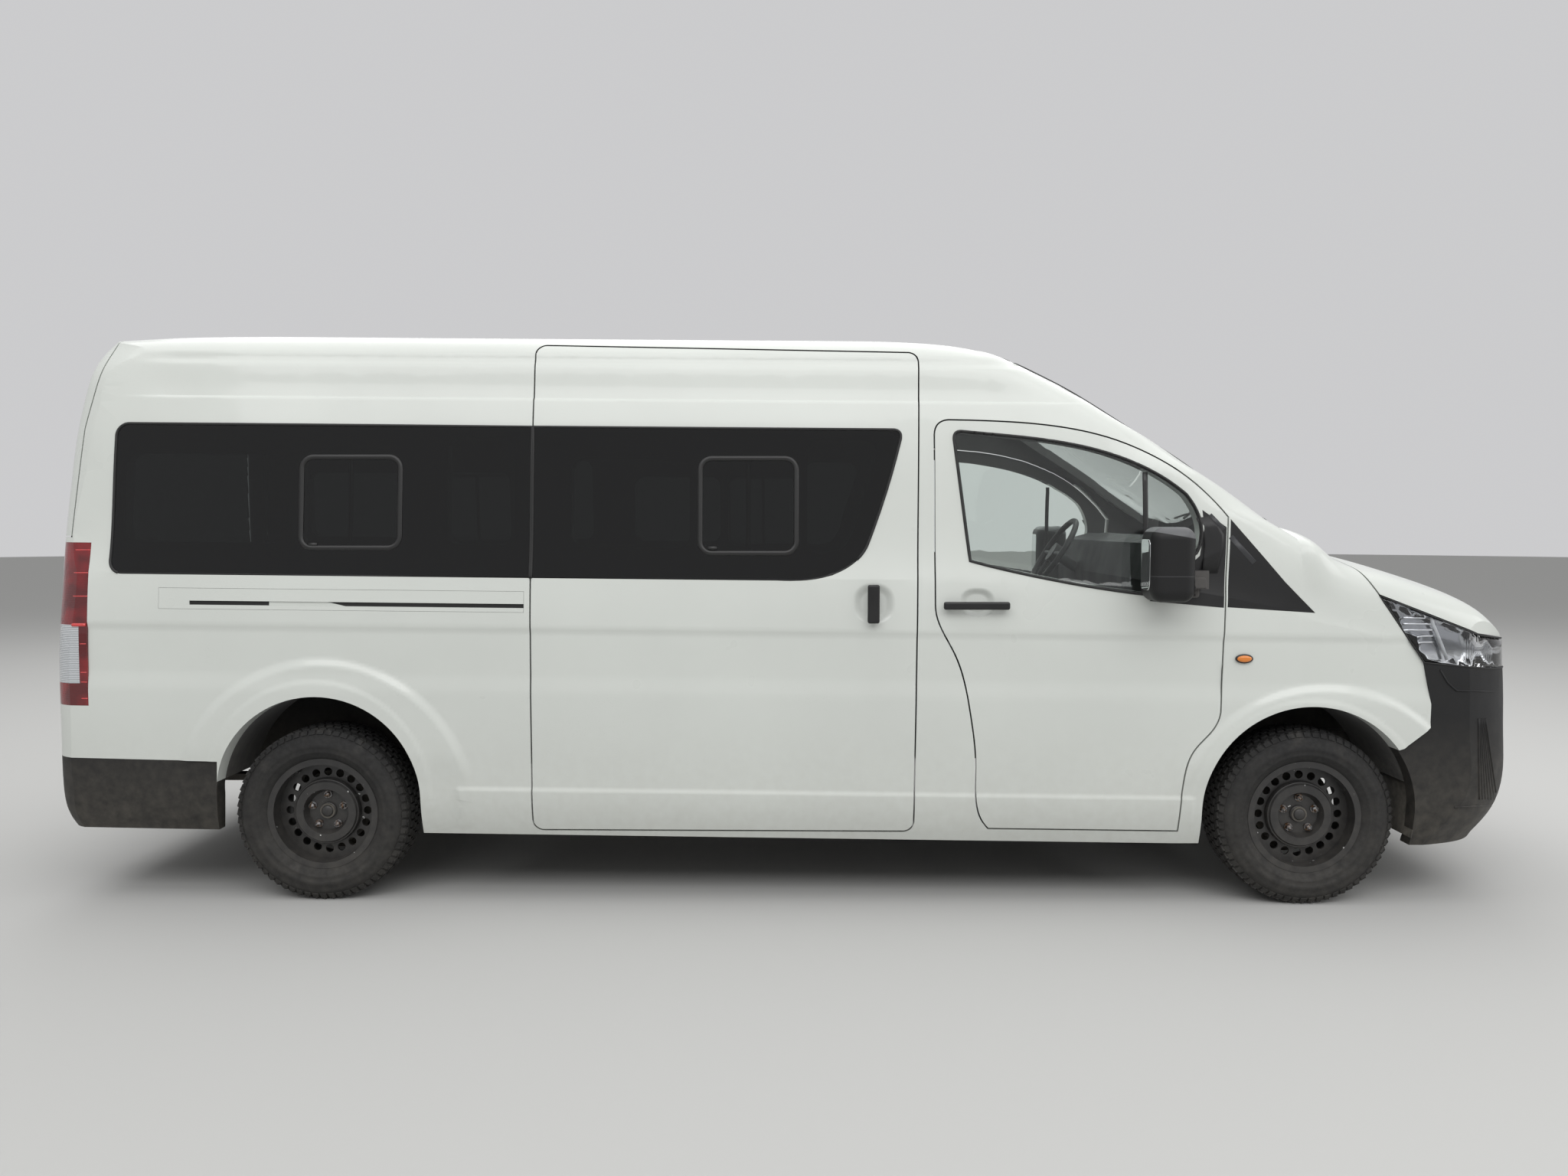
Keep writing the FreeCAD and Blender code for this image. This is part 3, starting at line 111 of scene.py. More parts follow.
rays = room.nodes.new("ShaderNodeLightPath")
seen = rays.outputs["Is Camera Ray"]
for kind in ("Is Glossy Ray", "Is Transmission Ray"):
    either = room.nodes.new("ShaderNodeMath")
    either.operation = "MAXIMUM"
    room.links.new(seen, either.inputs[0])
    room.links.new(rays.outputs[kind], either.inputs[1])
    seen = either.outputs["Value"]
choose = room.nodes.new("ShaderNodeMixShader")
room.links.new(seen, choose.inputs["Fac"])
room.links.new(soft.outputs["Background"], choose.inputs[1])
room.links.new(shown.outputs["Background"], choose.inputs[2])
room.links.new(choose.outputs["Shader"], room.nodes["World Output"].inputs["Surface"])
for name, place, aim, width, depth, power in LAMPS:
    lamp = bpy.data.objects.new(name, bpy.data.lights.new(name, "AREA"))
    lamp.data.shape = "RECTANGLE"
    lamp.data.size, lamp.data.size_y, lamp.data.energy = width, depth, power
    lamp.location = place
    lamp.rotation_euler = (Vector(aim) - Vector(place)).to_track_quat("-Z", "Y").to_euler()
    bpy.context.scene.collection.objects.link(lamp)


def wired(tree, kind, inputs=(), **settings):
    """A new node with its settings and its inputs, each a value or another node's output."""
    node = tree.nodes.new(kind)
    for key, value in settings.items():
        setattr(node, key, value)
    for key, value in dict(inputs).items():
        if isinstance(value, bpy.types.NodeSocket):
            tree.links.new(value, node.inputs[key])
        else:
            node.inputs[key].default_value = value
    return node


class Shader:
    """A material with its Principled shader, built up node by node."""

    def __init__(self, name, colour=(0.5, 0.5, 0.5), roughness=0.5, **more):
        self.material = bpy.data.materials.new(name)
        self.material.use_nodes = True
        self.tree = self.material.node_tree
        self.main = self.tree.nodes["Principled BSDF"]
        self.put("Base Color", (*colour, 1))
        self.put("Roughness", roughness)
        for key, value in more.items():
            self.put(key.replace("_", " "), value)

    def put(self, name, value):
        if isinstance(value, bpy.types.NodeSocket):
            self.tree.links.new(value, self.main.inputs[name])
        else:
            self.main.inputs[name].default_value = value

    def add(self, kind, inputs=(), **settings):
        return wired(self.tree, kind, inputs, **settings)

    def place(self):
        return self.add("ShaderNodeTexCoord").outputs["Object"]

    def noise(self, scale, detail=3.0, roughness=0.5, vector=None):
        where = self.place() if vector is None else vector
        texture = self.add("ShaderNodeTexNoise", {"Vector": where, "Scale": scale, "Detail": detail,
                                                  "Roughness": roughness})
        return texture.outputs["Fac"]

    def span(self, value, low, high, to_low=0.0, to_high=1.0):
        """value taken from low..high to the new range, and held at its ends."""
        node = self.add("ShaderNodeMapRange", {"Value": value, "From Min": low, "From Max": high,
                                               "To Min": to_low, "To Max": to_high})
        return node.outputs["Result"]

    def math(self, operation, a, b):
        return self.add("ShaderNodeMath", {0: a, 1: b}, operation=operation).outputs["Value"]

    def blend(self, share, a, b):
        """Colour a where share is 0 and b where it is 1."""
        node = self.add("ShaderNodeMix", {}, data_type="RGBA")
        for socket, value in ((node.inputs["Factor"], share), (node.inputs[6], a), (node.inputs[7], b)):
            if isinstance(value, bpy.types.NodeSocket):
                self.tree.links.new(value, socket)
            else:
                socket.default_value = value if isinstance(value, float) else (*value[:3], 1)
        return node.outputs[2]

    def bump(self, height, distance, strength=1.0):
        node = self.add("ShaderNodeBump", {"Height": height, "Distance": distance, "Strength": strength})
        self.put("Normal", node.outputs["Normal"])

    def uneven(self, low, high, scale, detail=3.0):
        """A roughness that wanders between two values."""
        self.put("Roughness", self.span(self.noise(scale, detail), 0.3, 0.7, low, high))

    def fine(self, distance, scale, detail=3.0, strength=1.0):
        """A fine texture that stands out by a distance."""
        self.bump(self.noise(scale, detail), distance, strength)

    def dusty(self, amount):
        """Where road dust lies, from 0 to 1."""
        return self.add("ShaderNodeGroup", {"Amount": amount}, node_tree=dust).outputs["Mask"]


def piece(name, bm, body, material_slot, *materials, smooth=True):
    """A finished bmesh as an object on its body, with its materials."""
    mesh = bpy.data.meshes.new(name)
    bm.to_mesh(mesh)
    bm.free()
    for material in materials:
        mesh.materials.append(material)
    mesh.polygons.foreach_set("use_smooth", [smooth] * len(mesh.polygons))
    made = bpy.data.objects.new(name, mesh)
    bpy.context.scene.collection.objects.link(made)
    if body:
        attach(made, body)
    return made


paving = Shader("pale_floor", FLOOR_COLOUR[:3], 0.85, Specular_IOR_Level=0.15)
bm = bmesh.new()
bmesh.ops.create_circle(bm, cap_ends=True, segments=64, radius=FLOOR_RADIUS)
floor = piece("floor", bm, None, None, paving.material)
floor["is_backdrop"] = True

# Road dust lies on the lower body, on the wheels and under the floor, thicker nearer the ground.
DUST_TOP = 0.75
DUST_FLOOR = 0.15
DUST_COLOUR = (0.30, 0.27, 0.22)
dust = bpy.data.node_groups.new("road_dust", "ShaderNodeTree")
dust.interface.new_socket("Amount", in_out="INPUT", socket_type="NodeSocketFloat").default_value = 0.3
dust.interface.new_socket("Mask", in_out="OUTPUT", socket_type="NodeSocketFloat")

ends = wired(dust, "NodeGroupInput"), wired(dust, "NodeGroupOutput")
where = wired(dust, "ShaderNodeTexCoord").outputs["Object"]
height = wired(dust, "ShaderNodeSeparateXYZ", {"Vector": where}).outputs["Z"]
low = wired(dust, "ShaderNodeMapRange", {"Value": height, "From Min": DUST_TOP, "From Max": DUST_FLOOR})
cloud = wired(dust, "ShaderNodeTexNoise", {"Vector": where, "Scale": 26.0, "Detail": 5.0, "Roughness": 0.55})
cloud = wired(dust, "ShaderNodeMapRange", {"Value": cloud.outputs["Fac"], "From Min": 0.10, "From Max": 0.90})
both = wired(dust, "ShaderNodeMath", {0: low.outputs[0], 1: cloud.outputs[0]}, operation="MULTIPLY")
both = wired(dust, "ShaderNodeMath", {0: both.outputs[0], 1: ends[0].outputs["Amount"]}, operation="MULTIPLY")
dust.links.new(both.outputs[0], ends[1].inputs["Mask"])

# Body panels: pressed steel in gloss white paint with a clear coat over it, and a little dust
# and fine grit. Seals, the edges under the glass and the faces in the arches are black, and the
# inside is lined in grey. The floors of the shut gaps under a neighbouring panel's edge are black
# too, as painted shade.
WHITE = (0.640, 0.665, 0.630)
WHITE_SHADE = (0.600, 0.622, 0.590)
paint = Shader("white_paint", WHITE, 0.32, Coat_Weight=0.45, Coat_Roughness=0.06, Specular_IOR_Level=0.4)
tone = paint.span(paint.noise(1.3, 4.0), 0.3, 0.7)
film = paint.dusty(0.30)
grit = paint.span(paint.noise(420.0, 2.0), 0.66, 0.74)
grit = paint.math("MULTIPLY", grit, paint.span(paint.noise(2.0, 2.0), 0.5, 0.8, 0.0, 0.5))
soiled = paint.math("MAXIMUM", film, grit)
paint.put("Base Color", paint.blend(soiled, paint.blend(tone, WHITE, WHITE_SHADE), DUST_COLOUR))
paint.put("Roughness", paint.span(paint.math("ADD", soiled, paint.noise(3.0)), 0.3, 1.3, 0.26, 0.70))
paint.fine(0.00012, 260.0, 2.0, 0.35)
# Black for the seals, and for the floors of the shut gaps as painted shade.
seal_and_gap_shade = Shader("black_seal_and_gap_shade", (0.008, 0.008, 0.008), 0.7)
seal_and_gap_shade.fine(0.0003, 900.0)
lining = Shader("grey_lining", (0.11, 0.11, 0.11), 0.85)
lining.put("Base Color", lining.blend(lining.noise(900.0, 2.0), (0.09, 0.09, 0.09), (0.13, 0.13, 0.128)))
lining.fine(0.0004, 700.0, 2.0)

# Pressings of the body sides, by place along the level body and height above its ground line.
ARCHES = ((-1.8575, 0.417, 0.402), (2.0025, 0.377, 0.412))
CRESTS = ((-1.835, 0.352, 0.583), (2.060, 0.290, 0.590))
CREST_RISE, CREST_EDGE = 0.012, 0.045
LIP_RISE, LIP_WIDTH = 0.004, 0.055
BELT_TOP, BELT_DEPTH, BELT_EDGE = 1.085, 0.007, 0.035
BELT_FOOT_TOP, BELT_FOOT = 0.905, 0.10
SILL_TOP, SILL_RISE, SILL_EDGE = 0.455, 0.006, 0.022
SILL_ENDS = (-1.30, 1.545)
LEDGE, LEDGE_DEPTH, LEDGE_EDGE = 1.966, 0.008, 0.012
GROOVE, GROOVE_DEPTH, GROOVE_HALF = 2.128, 0.006, 0.030
ROOF_ENDS = (-2.66, 1.20)
ROOF_FADE = 0.25
DISHES = ((0.7146, 1.193, 0.070, 0.058), (0.316, 1.186, 0.083, 0.078))
DISH_DEPTH, DISH_EDGE = 0.016, 0.45


def ramp(value, start, end):
    """0 up to start, 1 from end on, and a smooth rise between them."""
    t = min(max((value - start) / (end - start), 0.0), 1.0)
    return t * t * (3 - 2 * t)


def pressing(x, z, with_door_dishes):
    """How far the side skin stands out from the plain body at a place."""
    z = z - lean(x)
    out = 0.0
    for (arch_x, arch_z, arch_radius), (crest_x, crest_z, crest_radius) in zip(ARCHES, CRESTS):
        away = math.hypot(x - crest_x, z - crest_z) - crest_radius
        low = ramp(z, 0.42, 0.60)
        out += CREST_RISE * low * (1 - ramp(away, -CREST_EDGE / 2, CREST_EDGE / 2))
        away = math.hypot(x - arch_x, max(z - arch_z, 0)) - arch_radius
        out += LIP_RISE * (1 - ramp(away, LIP_WIDTH * 0.5, LIP_WIDTH))
    inset = ramp(BELT_TOP - z, 0, BELT_EDGE) * (1 - ramp(BELT_FOOT_TOP - z, 0, BELT_FOOT))
    out -= BELT_DEPTH * inset
    sill = ramp(SILL_TOP - z, 0, SILL_EDGE)
    sill *= ramp(x, SILL_ENDS[0] - SILL_EDGE, SILL_ENDS[0])
    sill *= ramp(-x, -SILL_ENDS[1] - SILL_EDGE, -SILL_ENDS[1])
    out += SILL_RISE * sill
    along = ramp(x, ROOF_ENDS[0], ROOF_ENDS[0] + ROOF_FADE)
    along *= 1 - ramp(x, ROOF_ENDS[1] - ROOF_FADE, ROOF_ENDS[1])
    out -= LEDGE_DEPTH * ramp(z, LEDGE, LEDGE + LEDGE_EDGE) * (1 - ramp(z, LEDGE + 0.03, GROOVE)) * along
    out -= GROOVE_DEPTH * (1 - ramp(abs(z - GROOVE), 0, GROOVE_HALF)) * along
    for number, (dish_x, dish_z, wide, tall) in enumerate(DISHES):
        if number == 0 or with_door_dishes:
            away = ((abs(x - dish_x) / wide) ** 2.5 + (abs(z - dish_z) / tall) ** 2.5) ** 0.4
            out -= DISH_DEPTH * (1 - ramp(away, 1 - DISH_EDGE, 1))
    return out


# Fine cuts along the pressings, so that their edges are smooth: ends and step along the body,
# then ends and step of the height. None leaves the skin whole in that direction.
CUTS = (
    (-2.48, -1.18, 0.0125, 0.40, 1.00, 0.0125),
    (1.42, 2.72, 0.0125, 0.36, 0.94, 0.0125),
    (-3.0, 3.0, None, 0.780, 1.130, 0.012),
    (-1.40, 1.70, 0.050, 0.415, 0.470, 0.006),
    (-2.75, 1.40, 0.100, 1.935, 2.010, 0.006),
    (-2.75, 1.40, 0.100, 2.030, 2.190, 0.010),
    (0.62, 0.81, 0.005, 1.115, 1.255, 0.005),
    (0.21, 0.42, 0.005, 1.090, 1.280, 0.005),
)


def finish(node, shader):
    """A better material for all slots of a CAD node that is shown as it is."""
    slots = cad[node].data.materials
    for index in range(len(slots)):
        slots[index] = shader.material


def merged_copy(node):
    """A node's faces with their doubles merged, where each corner keeps its own normal."""
    bm = bmesh.new()
    bm.from_mesh(cad[node].data)
    kept = bm.loops.layers.float_vector.new("kept")
    normals = iter(cad[node].data.corner_normals)
    for face in bm.faces:
        for corner in face.loops:
            corner[kept] = next(normals).vector
    bmesh.ops.remove_doubles(bm, verts=bm.verts, dist=0.00002)
    return bm


def cut_grid(bm, faces, x_low, x_high, x_step, z_low, z_high, z_step):
    """Cuts some faces by a grid of planes inside a rectangle seen from the side."""
    def sliced(geometry, place, normal):
        cut = bmesh.ops.bisect_plane(bm, geom=geometry, dist=0.00001, plane_co=place, plane_no=normal)
        return cut["geom"]

    def around(found):
        return list({e for f in found for e in (*f.verts, *f.edges)}) + found

    across, up = (1, 0, 0), (NOSE_DOWN, 0, 1)
    near = [f for f in faces if f.is_valid]
    near = [f for f in near
            if min(v.co.x for v in f.verts) < x_high and max(v.co.x for v in f.verts) > x_low
            and min(v.co.z - lean(v.co.x) for v in f.verts) < z_high
            and max(v.co.z - lean(v.co.x) for v in f.verts) > z_low]
    if not near:
        return faces
    others = set(faces) - set(near)
    geometry = around(near)
    edges = ((x_low, 0, 0), across), ((x_high, 0, 0), across), ((0, 0, z_low), up), ((0, 0, z_high), up)
    for place, normal in edges:
        geometry = sliced(geometry, place, normal)
    found = [g for g in geometry if isinstance(g, bmesh.types.BMFace)]

    def within(face):
        centre = face.calc_center_median()
        return x_low < centre.x < x_high and z_low < centre.z - lean(centre.x) < z_high

    inner = [f for f in found if within(f)]
    others |= set(found) - set(inner)
    if inner:
        geometry = around(inner)
        planes = []
        if x_step:
            count = round((x_high - x_low) / x_step)
            planes += [((x_low + k * (x_high - x_low) / count, 0, 0), across) for k in range(1, count)]
        count = round((z_high - z_low) / z_step)
        planes += [((0, 0, z_low + k * (z_high - z_low) / count), up) for k in range(1, count)]
        for place, normal in planes:
            geometry = sliced(geometry, place, normal)
        others |= {g for g in geometry if isinstance(g, bmesh.types.BMFace)}
    return list(others)


def tree_of(*names):
    """All faces of some nodes together, to look along a line for."""
    points, faces = [], []
    for name in names:
        mesh = cad[name].data
        start = len(points)
        points += [v.co.copy() for v in mesh.vertices]
        faces += [[start + k for k in polygon.vertices] for polygon in mesh.polygons]
    return BVHTree.FromPolygons(points, faces)


SKINS = ("side_panel_right", "side_panel_left", "sliding_door", "front_door_right", "front_door_left",
         "fender_right", "fender_left", "roof_panel", "back_door", "bonnet")
GLASS_NODES = ("side_windows", "front_door_glass_right", "front_door_glass_left", "windshield",
               "back_door_glass")
SHELL_NODES = SKINS + GLASS_NODES + ("headlamps", "tail_lamps", "front_bumper", "rear_bumper",
                                     "cowl_and_plates", "track_cover")
shell_tree, glass_tree = tree_of(*SHELL_NODES), tree_of(*GLASS_NODES)
STEP_OUT = 0.0008
SAME_SURFACE = math.cos(math.radians(12))
UNDER_GLASS = 0.012
UNDER_EDGE = 0.10
SEAL_INSET = 0.0020
FLOOR_TOP, ARCH_REACH = 0.640, 0.520
BODY_OF = {node: body for body, nodes in frame["record"]["behaviour"]["bodies"].items() for node in nodes}


def pressed_skin(node):
    """A body panel with its pressings, with black seals where it lies under glass, and black painted shade on
    the floors of the shut gaps where it lies just under another panel's edge.
    """
    bm = merged_copy(node)
    kept = bm.loops.layers.float_vector["kept"]
    outer, set_in = [], {}
    for face in bm.faces:
        centre = face.calc_center_median()
        normal = face.normal
        if glass_tree.ray_cast(centre + normal * STEP_OUT / 4, normal, UNDER_GLASS)[0]:
            face.material_index = 1
            set_in.update((v, normal.copy()) for v in face.verts)
        elif normal.y * centre.y < -0.1 and abs(centre.y) > 0.5 or normal.z < -0.3 and centre.z > 1.7:
            near = min(math.hypot(centre.x - arch[0], centre.z - arch[1]) for arch in ARCHES)
            face.material_index = 1 if centre.z < FLOOR_TOP or near < ARCH_REACH else 2
        elif abs(normal.y) > 0.25 and normal.y * centre.y > 0:
            outward = Vector((0, math.copysign(1, centre.y), 0))
            if shell_tree.ray_cast(centre + normal * STEP_OUT, outward)[0] is None:
                outer.append(face)
            # Faces just under a neighbouring panel's edge are the floors of the shut gaps: their black is
            # painted shade.
            elif shell_tree.ray_cast(centre + normal * STEP_OUT, outward, UNDER_EDGE)[0]:
                face.material_index = 1
    for v, normal in set_in.items():
        v.co -= normal * SEAL_INSET
    if abs(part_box(node)[0].y) > 0.8 or abs(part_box(node)[1].y) > 0.8:
        for cut in CUTS:
            outer = cut_grid(bm, outer, *cut)
    with_dishes = node.endswith("_door") or node.startswith("front_door")
    moved = {}
    small = 0.002
    for face in outer:
        for corner in face.loops:
            point = corner.vert
            if point not in moved:
                x, z = point.co.x, point.co.z
                height = pressing(x, z, with_dishes)
                slope_x = pressing(x + small, z, with_dishes) - pressing(x - small, z, with_dishes)
                slope_z = pressing(x, z + small, with_dishes) - pressing(x, z - small, with_dishes)
                slope = Vector((slope_x, 0, slope_z)) / (2 * small)
                moved[point] = (height, slope, corner[kept].normalized())
            height, slope, normal = moved[point]
            own = corner[kept].normalized()
            tangent = slope - own * slope.dot(own)
            corner[kept] = (own - tangent).normalized()
    for point, (height, slope, normal) in moved.items():
        point.co += normal * height
    skin_faces = set(outer)
    for point in moved:
        corners = [corner for corner in point.link_loops if corner.face in skin_faces]
        mean = sum((corner[kept] for corner in corners), Vector()).normalized()
        if min(mean.dot(corner[kept]) for corner in corners) > SAME_SURFACE:
            for corner in corners:
                corner[kept] = mean
    normals = [corner[kept].copy() for face in bm.faces for corner in face.loops]
    bm.loops.layers.float_vector.remove(kept)
    made = piece(node + "_skin", bm, BODY_OF[node], "body_white", paint.material, seal_and_gap_shade.material,
                 lining.material)
    made.data.normals_split_custom_set(normals)
    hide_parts(node)


for node in SKINS:
    pressed_skin(node)
finish("track_cover", paint)

# Tyres: black rubber carcasses with ringed sidewalls, and a tread of five rows of blocks whose
# shoulder blocks reach down the side. The rubber is grey with dust between the blocks.
SIDES = ((-1, "right"), (1, "left"))
AXLES = {"front": 2.0025, "rear": -1.8575}
WHEEL_Y, AXLE_HEIGHT = 0.8375, 0.345
TYRE_SECTION = (
    (0.2046, 0.0835), (0.2120, 0.0850), (0.2190, 0.0880), (0.2220, 0.0950), (0.2320, 0.1030),
    (0.2440, 0.1090), (0.2460, 0.1108), (0.2520, 0.1125), (0.2540, 0.1118), (0.2680, 0.1165),
    (0.2700, 0.1172), (0.2820, 0.1172), (0.2835, 0.1160), (0.2980, 0.1140), (0.3080, 0.1100),
    (0.3100, 0.1080), (0.3200, 0.1010), (0.3300, 0.0910), (0.3350, 0.0820), (0.3365, 0.0700),
    (0.3368, 0.0350),
)
TREAD_ROWS = ((-0.0765, 0.030, 0.3405, 28), (-0.0355, 0.030, 0.3442, 0), (0.0, 0.024, 0.3448, 0),
              (0.0355, 0.030, 0.3442, 0), (0.0765, 0.030, 0.3405, -28))
BLOCKS_ROUND = 64
BLOCK_FILL, BLOCK_HIGH, BLOCK_SUNK = 0.74, 0.012, 0.006
SHOULDER, SHOULDER_TILT, SHOULDER_SUNK = (0.0955, 0.020, 0.3275), math.radians(52), 0.004
TYRE_STEPS, BEAD_REACH = 96, 0.0001
rubber = Shader("tyre_rubber", (0.014, 0.014, 0.0145), 0.72, Specular_IOR_Level=0.35)
soiled = rubber.dusty(0.75)
scuffs = rubber.span(rubber.noise(14.0, 5.0), 0.50, 0.72, 0.0, 0.35)
rubber.put("Base Color", rubber.blend(rubber.math("MAXIMUM", soiled, scuffs), (0.014, 0.014, 0.0145),
                                      (0.075, 0.070, 0.062)))
rubber.uneven(0.62, 0.85, 60.0)
rubber.fine(0.0003, 1100.0)


def lathe(bm, section, segments, centre, axis=(0, 1, 0)):
    """Spins a section, given as radius and place along the axle, all the way round a centre."""
    points = [bm.verts.new((centre[0], centre[1] + along, centre[2] + radius)) for radius, along in section]
    edges = [bm.edges.new(pair) for pair in zip(points, points[1:])]
    bmesh.ops.spin(bm, geom=points + edges, cent=centre, axis=axis, angle=2 * math.pi, steps=segments,
                   use_merge=True)
    bmesh.ops.remove_doubles(bm, verts=bm.verts, dist=0.00001)


def tread_block(bm, spot, tilt, long, wide):
    """One block of rubber, standing out from its spot and tilted."""
    size = Matrix.Diagonal((long, wide, BLOCK_HIGH, 1))
    bmesh.ops.create_cube(bm, size=1, matrix=spot @ tilt @ size)


def tyre(end, hand, side):
    """A tyre with its carcass and all its tread blocks, in place of its node."""
    bm = bmesh.new()
    centre = Vector((AXLES[end], side * WHEEL_Y, AXLE_HEIGHT))
    other_half = tuple((radius, -along) for radius, along in reversed(TYRE_SECTION))
    lathe(bm, TYRE_SECTION + other_half, TYRE_STEPS, centre)
    inner = TYRE_SECTION[0][0]
    ring = [v for v in bm.verts if abs(math.hypot(v.co.x - centre.x, v.co.z - centre.z) - inner) < BEAD_REACH]
    edges = [e for v in ring for e in v.link_edges if len(e.link_faces) == 1]
    bmesh.ops.bridge_loops(bm, edges=list(set(edges)))
    carcass = len(bm.faces)
    for number in range(BLOCKS_ROUND):
        turn = 2 * math.pi * number / BLOCKS_ROUND
        pitch = 2 * math.pi / BLOCKS_ROUND * BLOCK_FILL
        for row, (along, wide, top, skew) in enumerate(TREAD_ROWS):
            step = math.pi / BLOCKS_ROUND * (row % 2)
            spot = Matrix.Translation(centre) @ Matrix.Rotation(turn + step, 4, "Y")
            spot = spot @ Matrix.Translation((0, along, top - BLOCK_SUNK))
            tread_block(bm, spot, Matrix.Rotation(math.radians(skew), 4, "Z"), top * pitch, wide)
        for reach in (-1, 1):
            along, wide, top = SHOULDER
            spot = Matrix.Translation(centre) @ Matrix.Rotation(turn, 4, "Y")
            spot = spot @ Matrix.Translation((0, reach * along, top - SHOULDER_SUNK))
            tread_block(bm, spot, Matrix.Rotation(-reach * SHOULDER_TILT, 4, "X"), top * pitch, wide)
    bmesh.ops.recalc_face_normals(bm, faces=bm.faces)
    name = "tyre_" + end + "_" + hand
    made = piece(name + "_tread", bm, "wheel_" + end + "_" + hand, "tyre_rubber", rubber.material)
    made.data.polygons.foreach_set("use_smooth", [k < carcass for k in range(len(made.data.polygons))])
    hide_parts(name)


# Wheels: pressed steel in black paint, with twenty round holes. Each has a raised ring, five
# wheel nuts, a black cap over its bore and a rubber valve, and the paint is chipped to the primer.
NUTS, NUT_CIRCLE, NUT_SIZE, NUT_DEPTH = 5, 0.065, 0.0125, 0.020
WASHER, WASHER_DEPTH, STUD_DEPTH = (0.0165, 0.0150), 0.005, 0.006
CAP_REACH, CAP_SUNK, RING_REACH = 0.036, 0.001, 0.127
VALVE_REACH, VALVE_TURN, VALVE_OUT = 0.196, 2.2, 0.045
VALVE, VALVE_LONG = (0.0065, 0.0042), 0.034
CAP_SECTION = ((0.0335, 0.0), (0.0335, 0.006), (0.0310, 0.009), (0.0240, 0.011), (0.0225, 0.019),
               (0.0180, 0.023), (0.0001, 0.0245))
RING_SECTION = ((0.1230, -0.004), (0.1240, 0.0015), (0.1270, 0.0028), (0.1300, 0.0015), (0.1310, -0.004))
wheel_paint = Shader("wheel_paint", (0.010, 0.010, 0.011), 0.34, Coat_Weight=0.2, Coat_Roughness=0.2)
soiled = wheel_paint.dusty(0.60)
chips = wheel_paint.span(wheel_paint.noise(55.0, 3.0), 0.735, 0.745)
worn = wheel_paint.blend(soiled, (0.010, 0.010, 0.011), (0.10, 0.092, 0.08))
wheel_paint.put("Base Color", wheel_paint.blend(chips, worn, (0.55, 0.55, 0.54)))
patchy = wheel_paint.math("ADD", soiled, wheel_paint.noise(20.0))
wheel_paint.put("Roughness", wheel_paint.span(patchy, 0.3, 1.2, 0.28, 0.7))
wheel_paint.fine(0.0002, 380.0)
nut_steel = Shader("nut_steel", (0.24, 0.24, 0.245), 0.38, Metallic=1.0)
nut_steel.put("Base Color", nut_steel.blend(nut_steel.span(nut_steel.noise(90.0, 4.0), 0.45, 0.62),
                                            (0.28, 0.28, 0.285), (0.14, 0.085, 0.05)))
nut_steel.fine(0.0002, 500.0)


def wheel_face(end, hand, side):
    """How far out the wheel's disc lies at a distance from the axle, found on its own mesh."""
    mesh = cad["rim_" + end + "_" + hand].data
    own = BVHTree.FromPolygons([v.co for v in mesh.vertices], [tuple(p.vertices) for p in mesh.polygons])
    turn = math.radians(9)

    def out(radius):
        x, z = AXLES[end] + radius * math.cos(turn), AXLE_HEIGHT + radius * math.sin(turn)
        return own.ray_cast(Vector((x, side * 2, z)), Vector((0, -side, 0)))[0].y
    return out


def turned(bm, spot, side, sides, radii, depth, along=0.0):
    """A cone or a many-sided bar that points out of the wheel, its middle at some distance from a spot."""
    flat = Matrix.Translation(spot) @ Matrix.Rotation(-side * math.pi / 2, 4, "X")
    bmesh.ops.create_cone(bm, cap_ends=True, segments=sides, radius1=radii[0], radius2=radii[1], depth=depth,
                          matrix=flat @ Matrix.Translation((0, 0, along)))


def wheel_fittings(end, hand, side):
    """The nuts, the cap, the raised ring and the valve of one wheel, with its paint."""
    out = wheel_face(end, hand, side)
    body = "wheel_" + end + "_" + hand
    centre = Vector((AXLES[end], 0, AXLE_HEIGHT))
    bm = bmesh.new()
    for number in range(NUTS):
        turn = 2 * math.pi * number / NUTS + math.pi / 2
        spot = centre + Vector((NUT_CIRCLE * math.cos(turn), out(NUT_CIRCLE), NUT_CIRCLE * math.sin(turn)))
        turned(bm, spot, side, 20, WASHER, WASHER_DEPTH, 0.002)
        turned(bm, spot, side, 6, (NUT_SIZE, NUT_SIZE * 0.96), NUT_DEPTH, NUT_DEPTH / 2)
        turned(bm, spot, side, 12, (NUT_SIZE * 0.80, NUT_SIZE * 0.35), STUD_DEPTH, NUT_DEPTH + STUD_DEPTH / 2)
    piece("wheel_nuts_" + end + "_" + hand, bm, body, "bare_steel", nut_steel.material, smooth=False)
    bm = bmesh.new()
    hub = out(CAP_REACH) - side * CAP_SUNK
    lathe(bm, [(radius, side * along) for radius, along in CAP_SECTION], 40, centre + Vector((0, hub, 0)))
    ring = centre + Vector((0, out(RING_REACH), 0))
    lathe(bm, [(radius, side * along) for radius, along in RING_SECTION], 72, ring)
    spot = centre + Vector((VALVE_REACH * math.cos(VALVE_TURN), 0, VALVE_REACH * math.sin(VALVE_TURN)))
    spot.y = side * (WHEEL_Y + VALVE_OUT)
    turned(bm, spot, side, 14, VALVE, VALVE_LONG)
    bmesh.ops.recalc_face_normals(bm, faces=bm.faces)
    piece("wheel_cap_" + end + "_" + hand, bm, body, "wheel_black", wheel_paint.material)
    finish("rim_" + end + "_" + hand, wheel_paint)


for end in AXLES:
    for side, hand in SIDES:
        tyre(end, hand, side)
        wheel_fittings(end, hand, side)

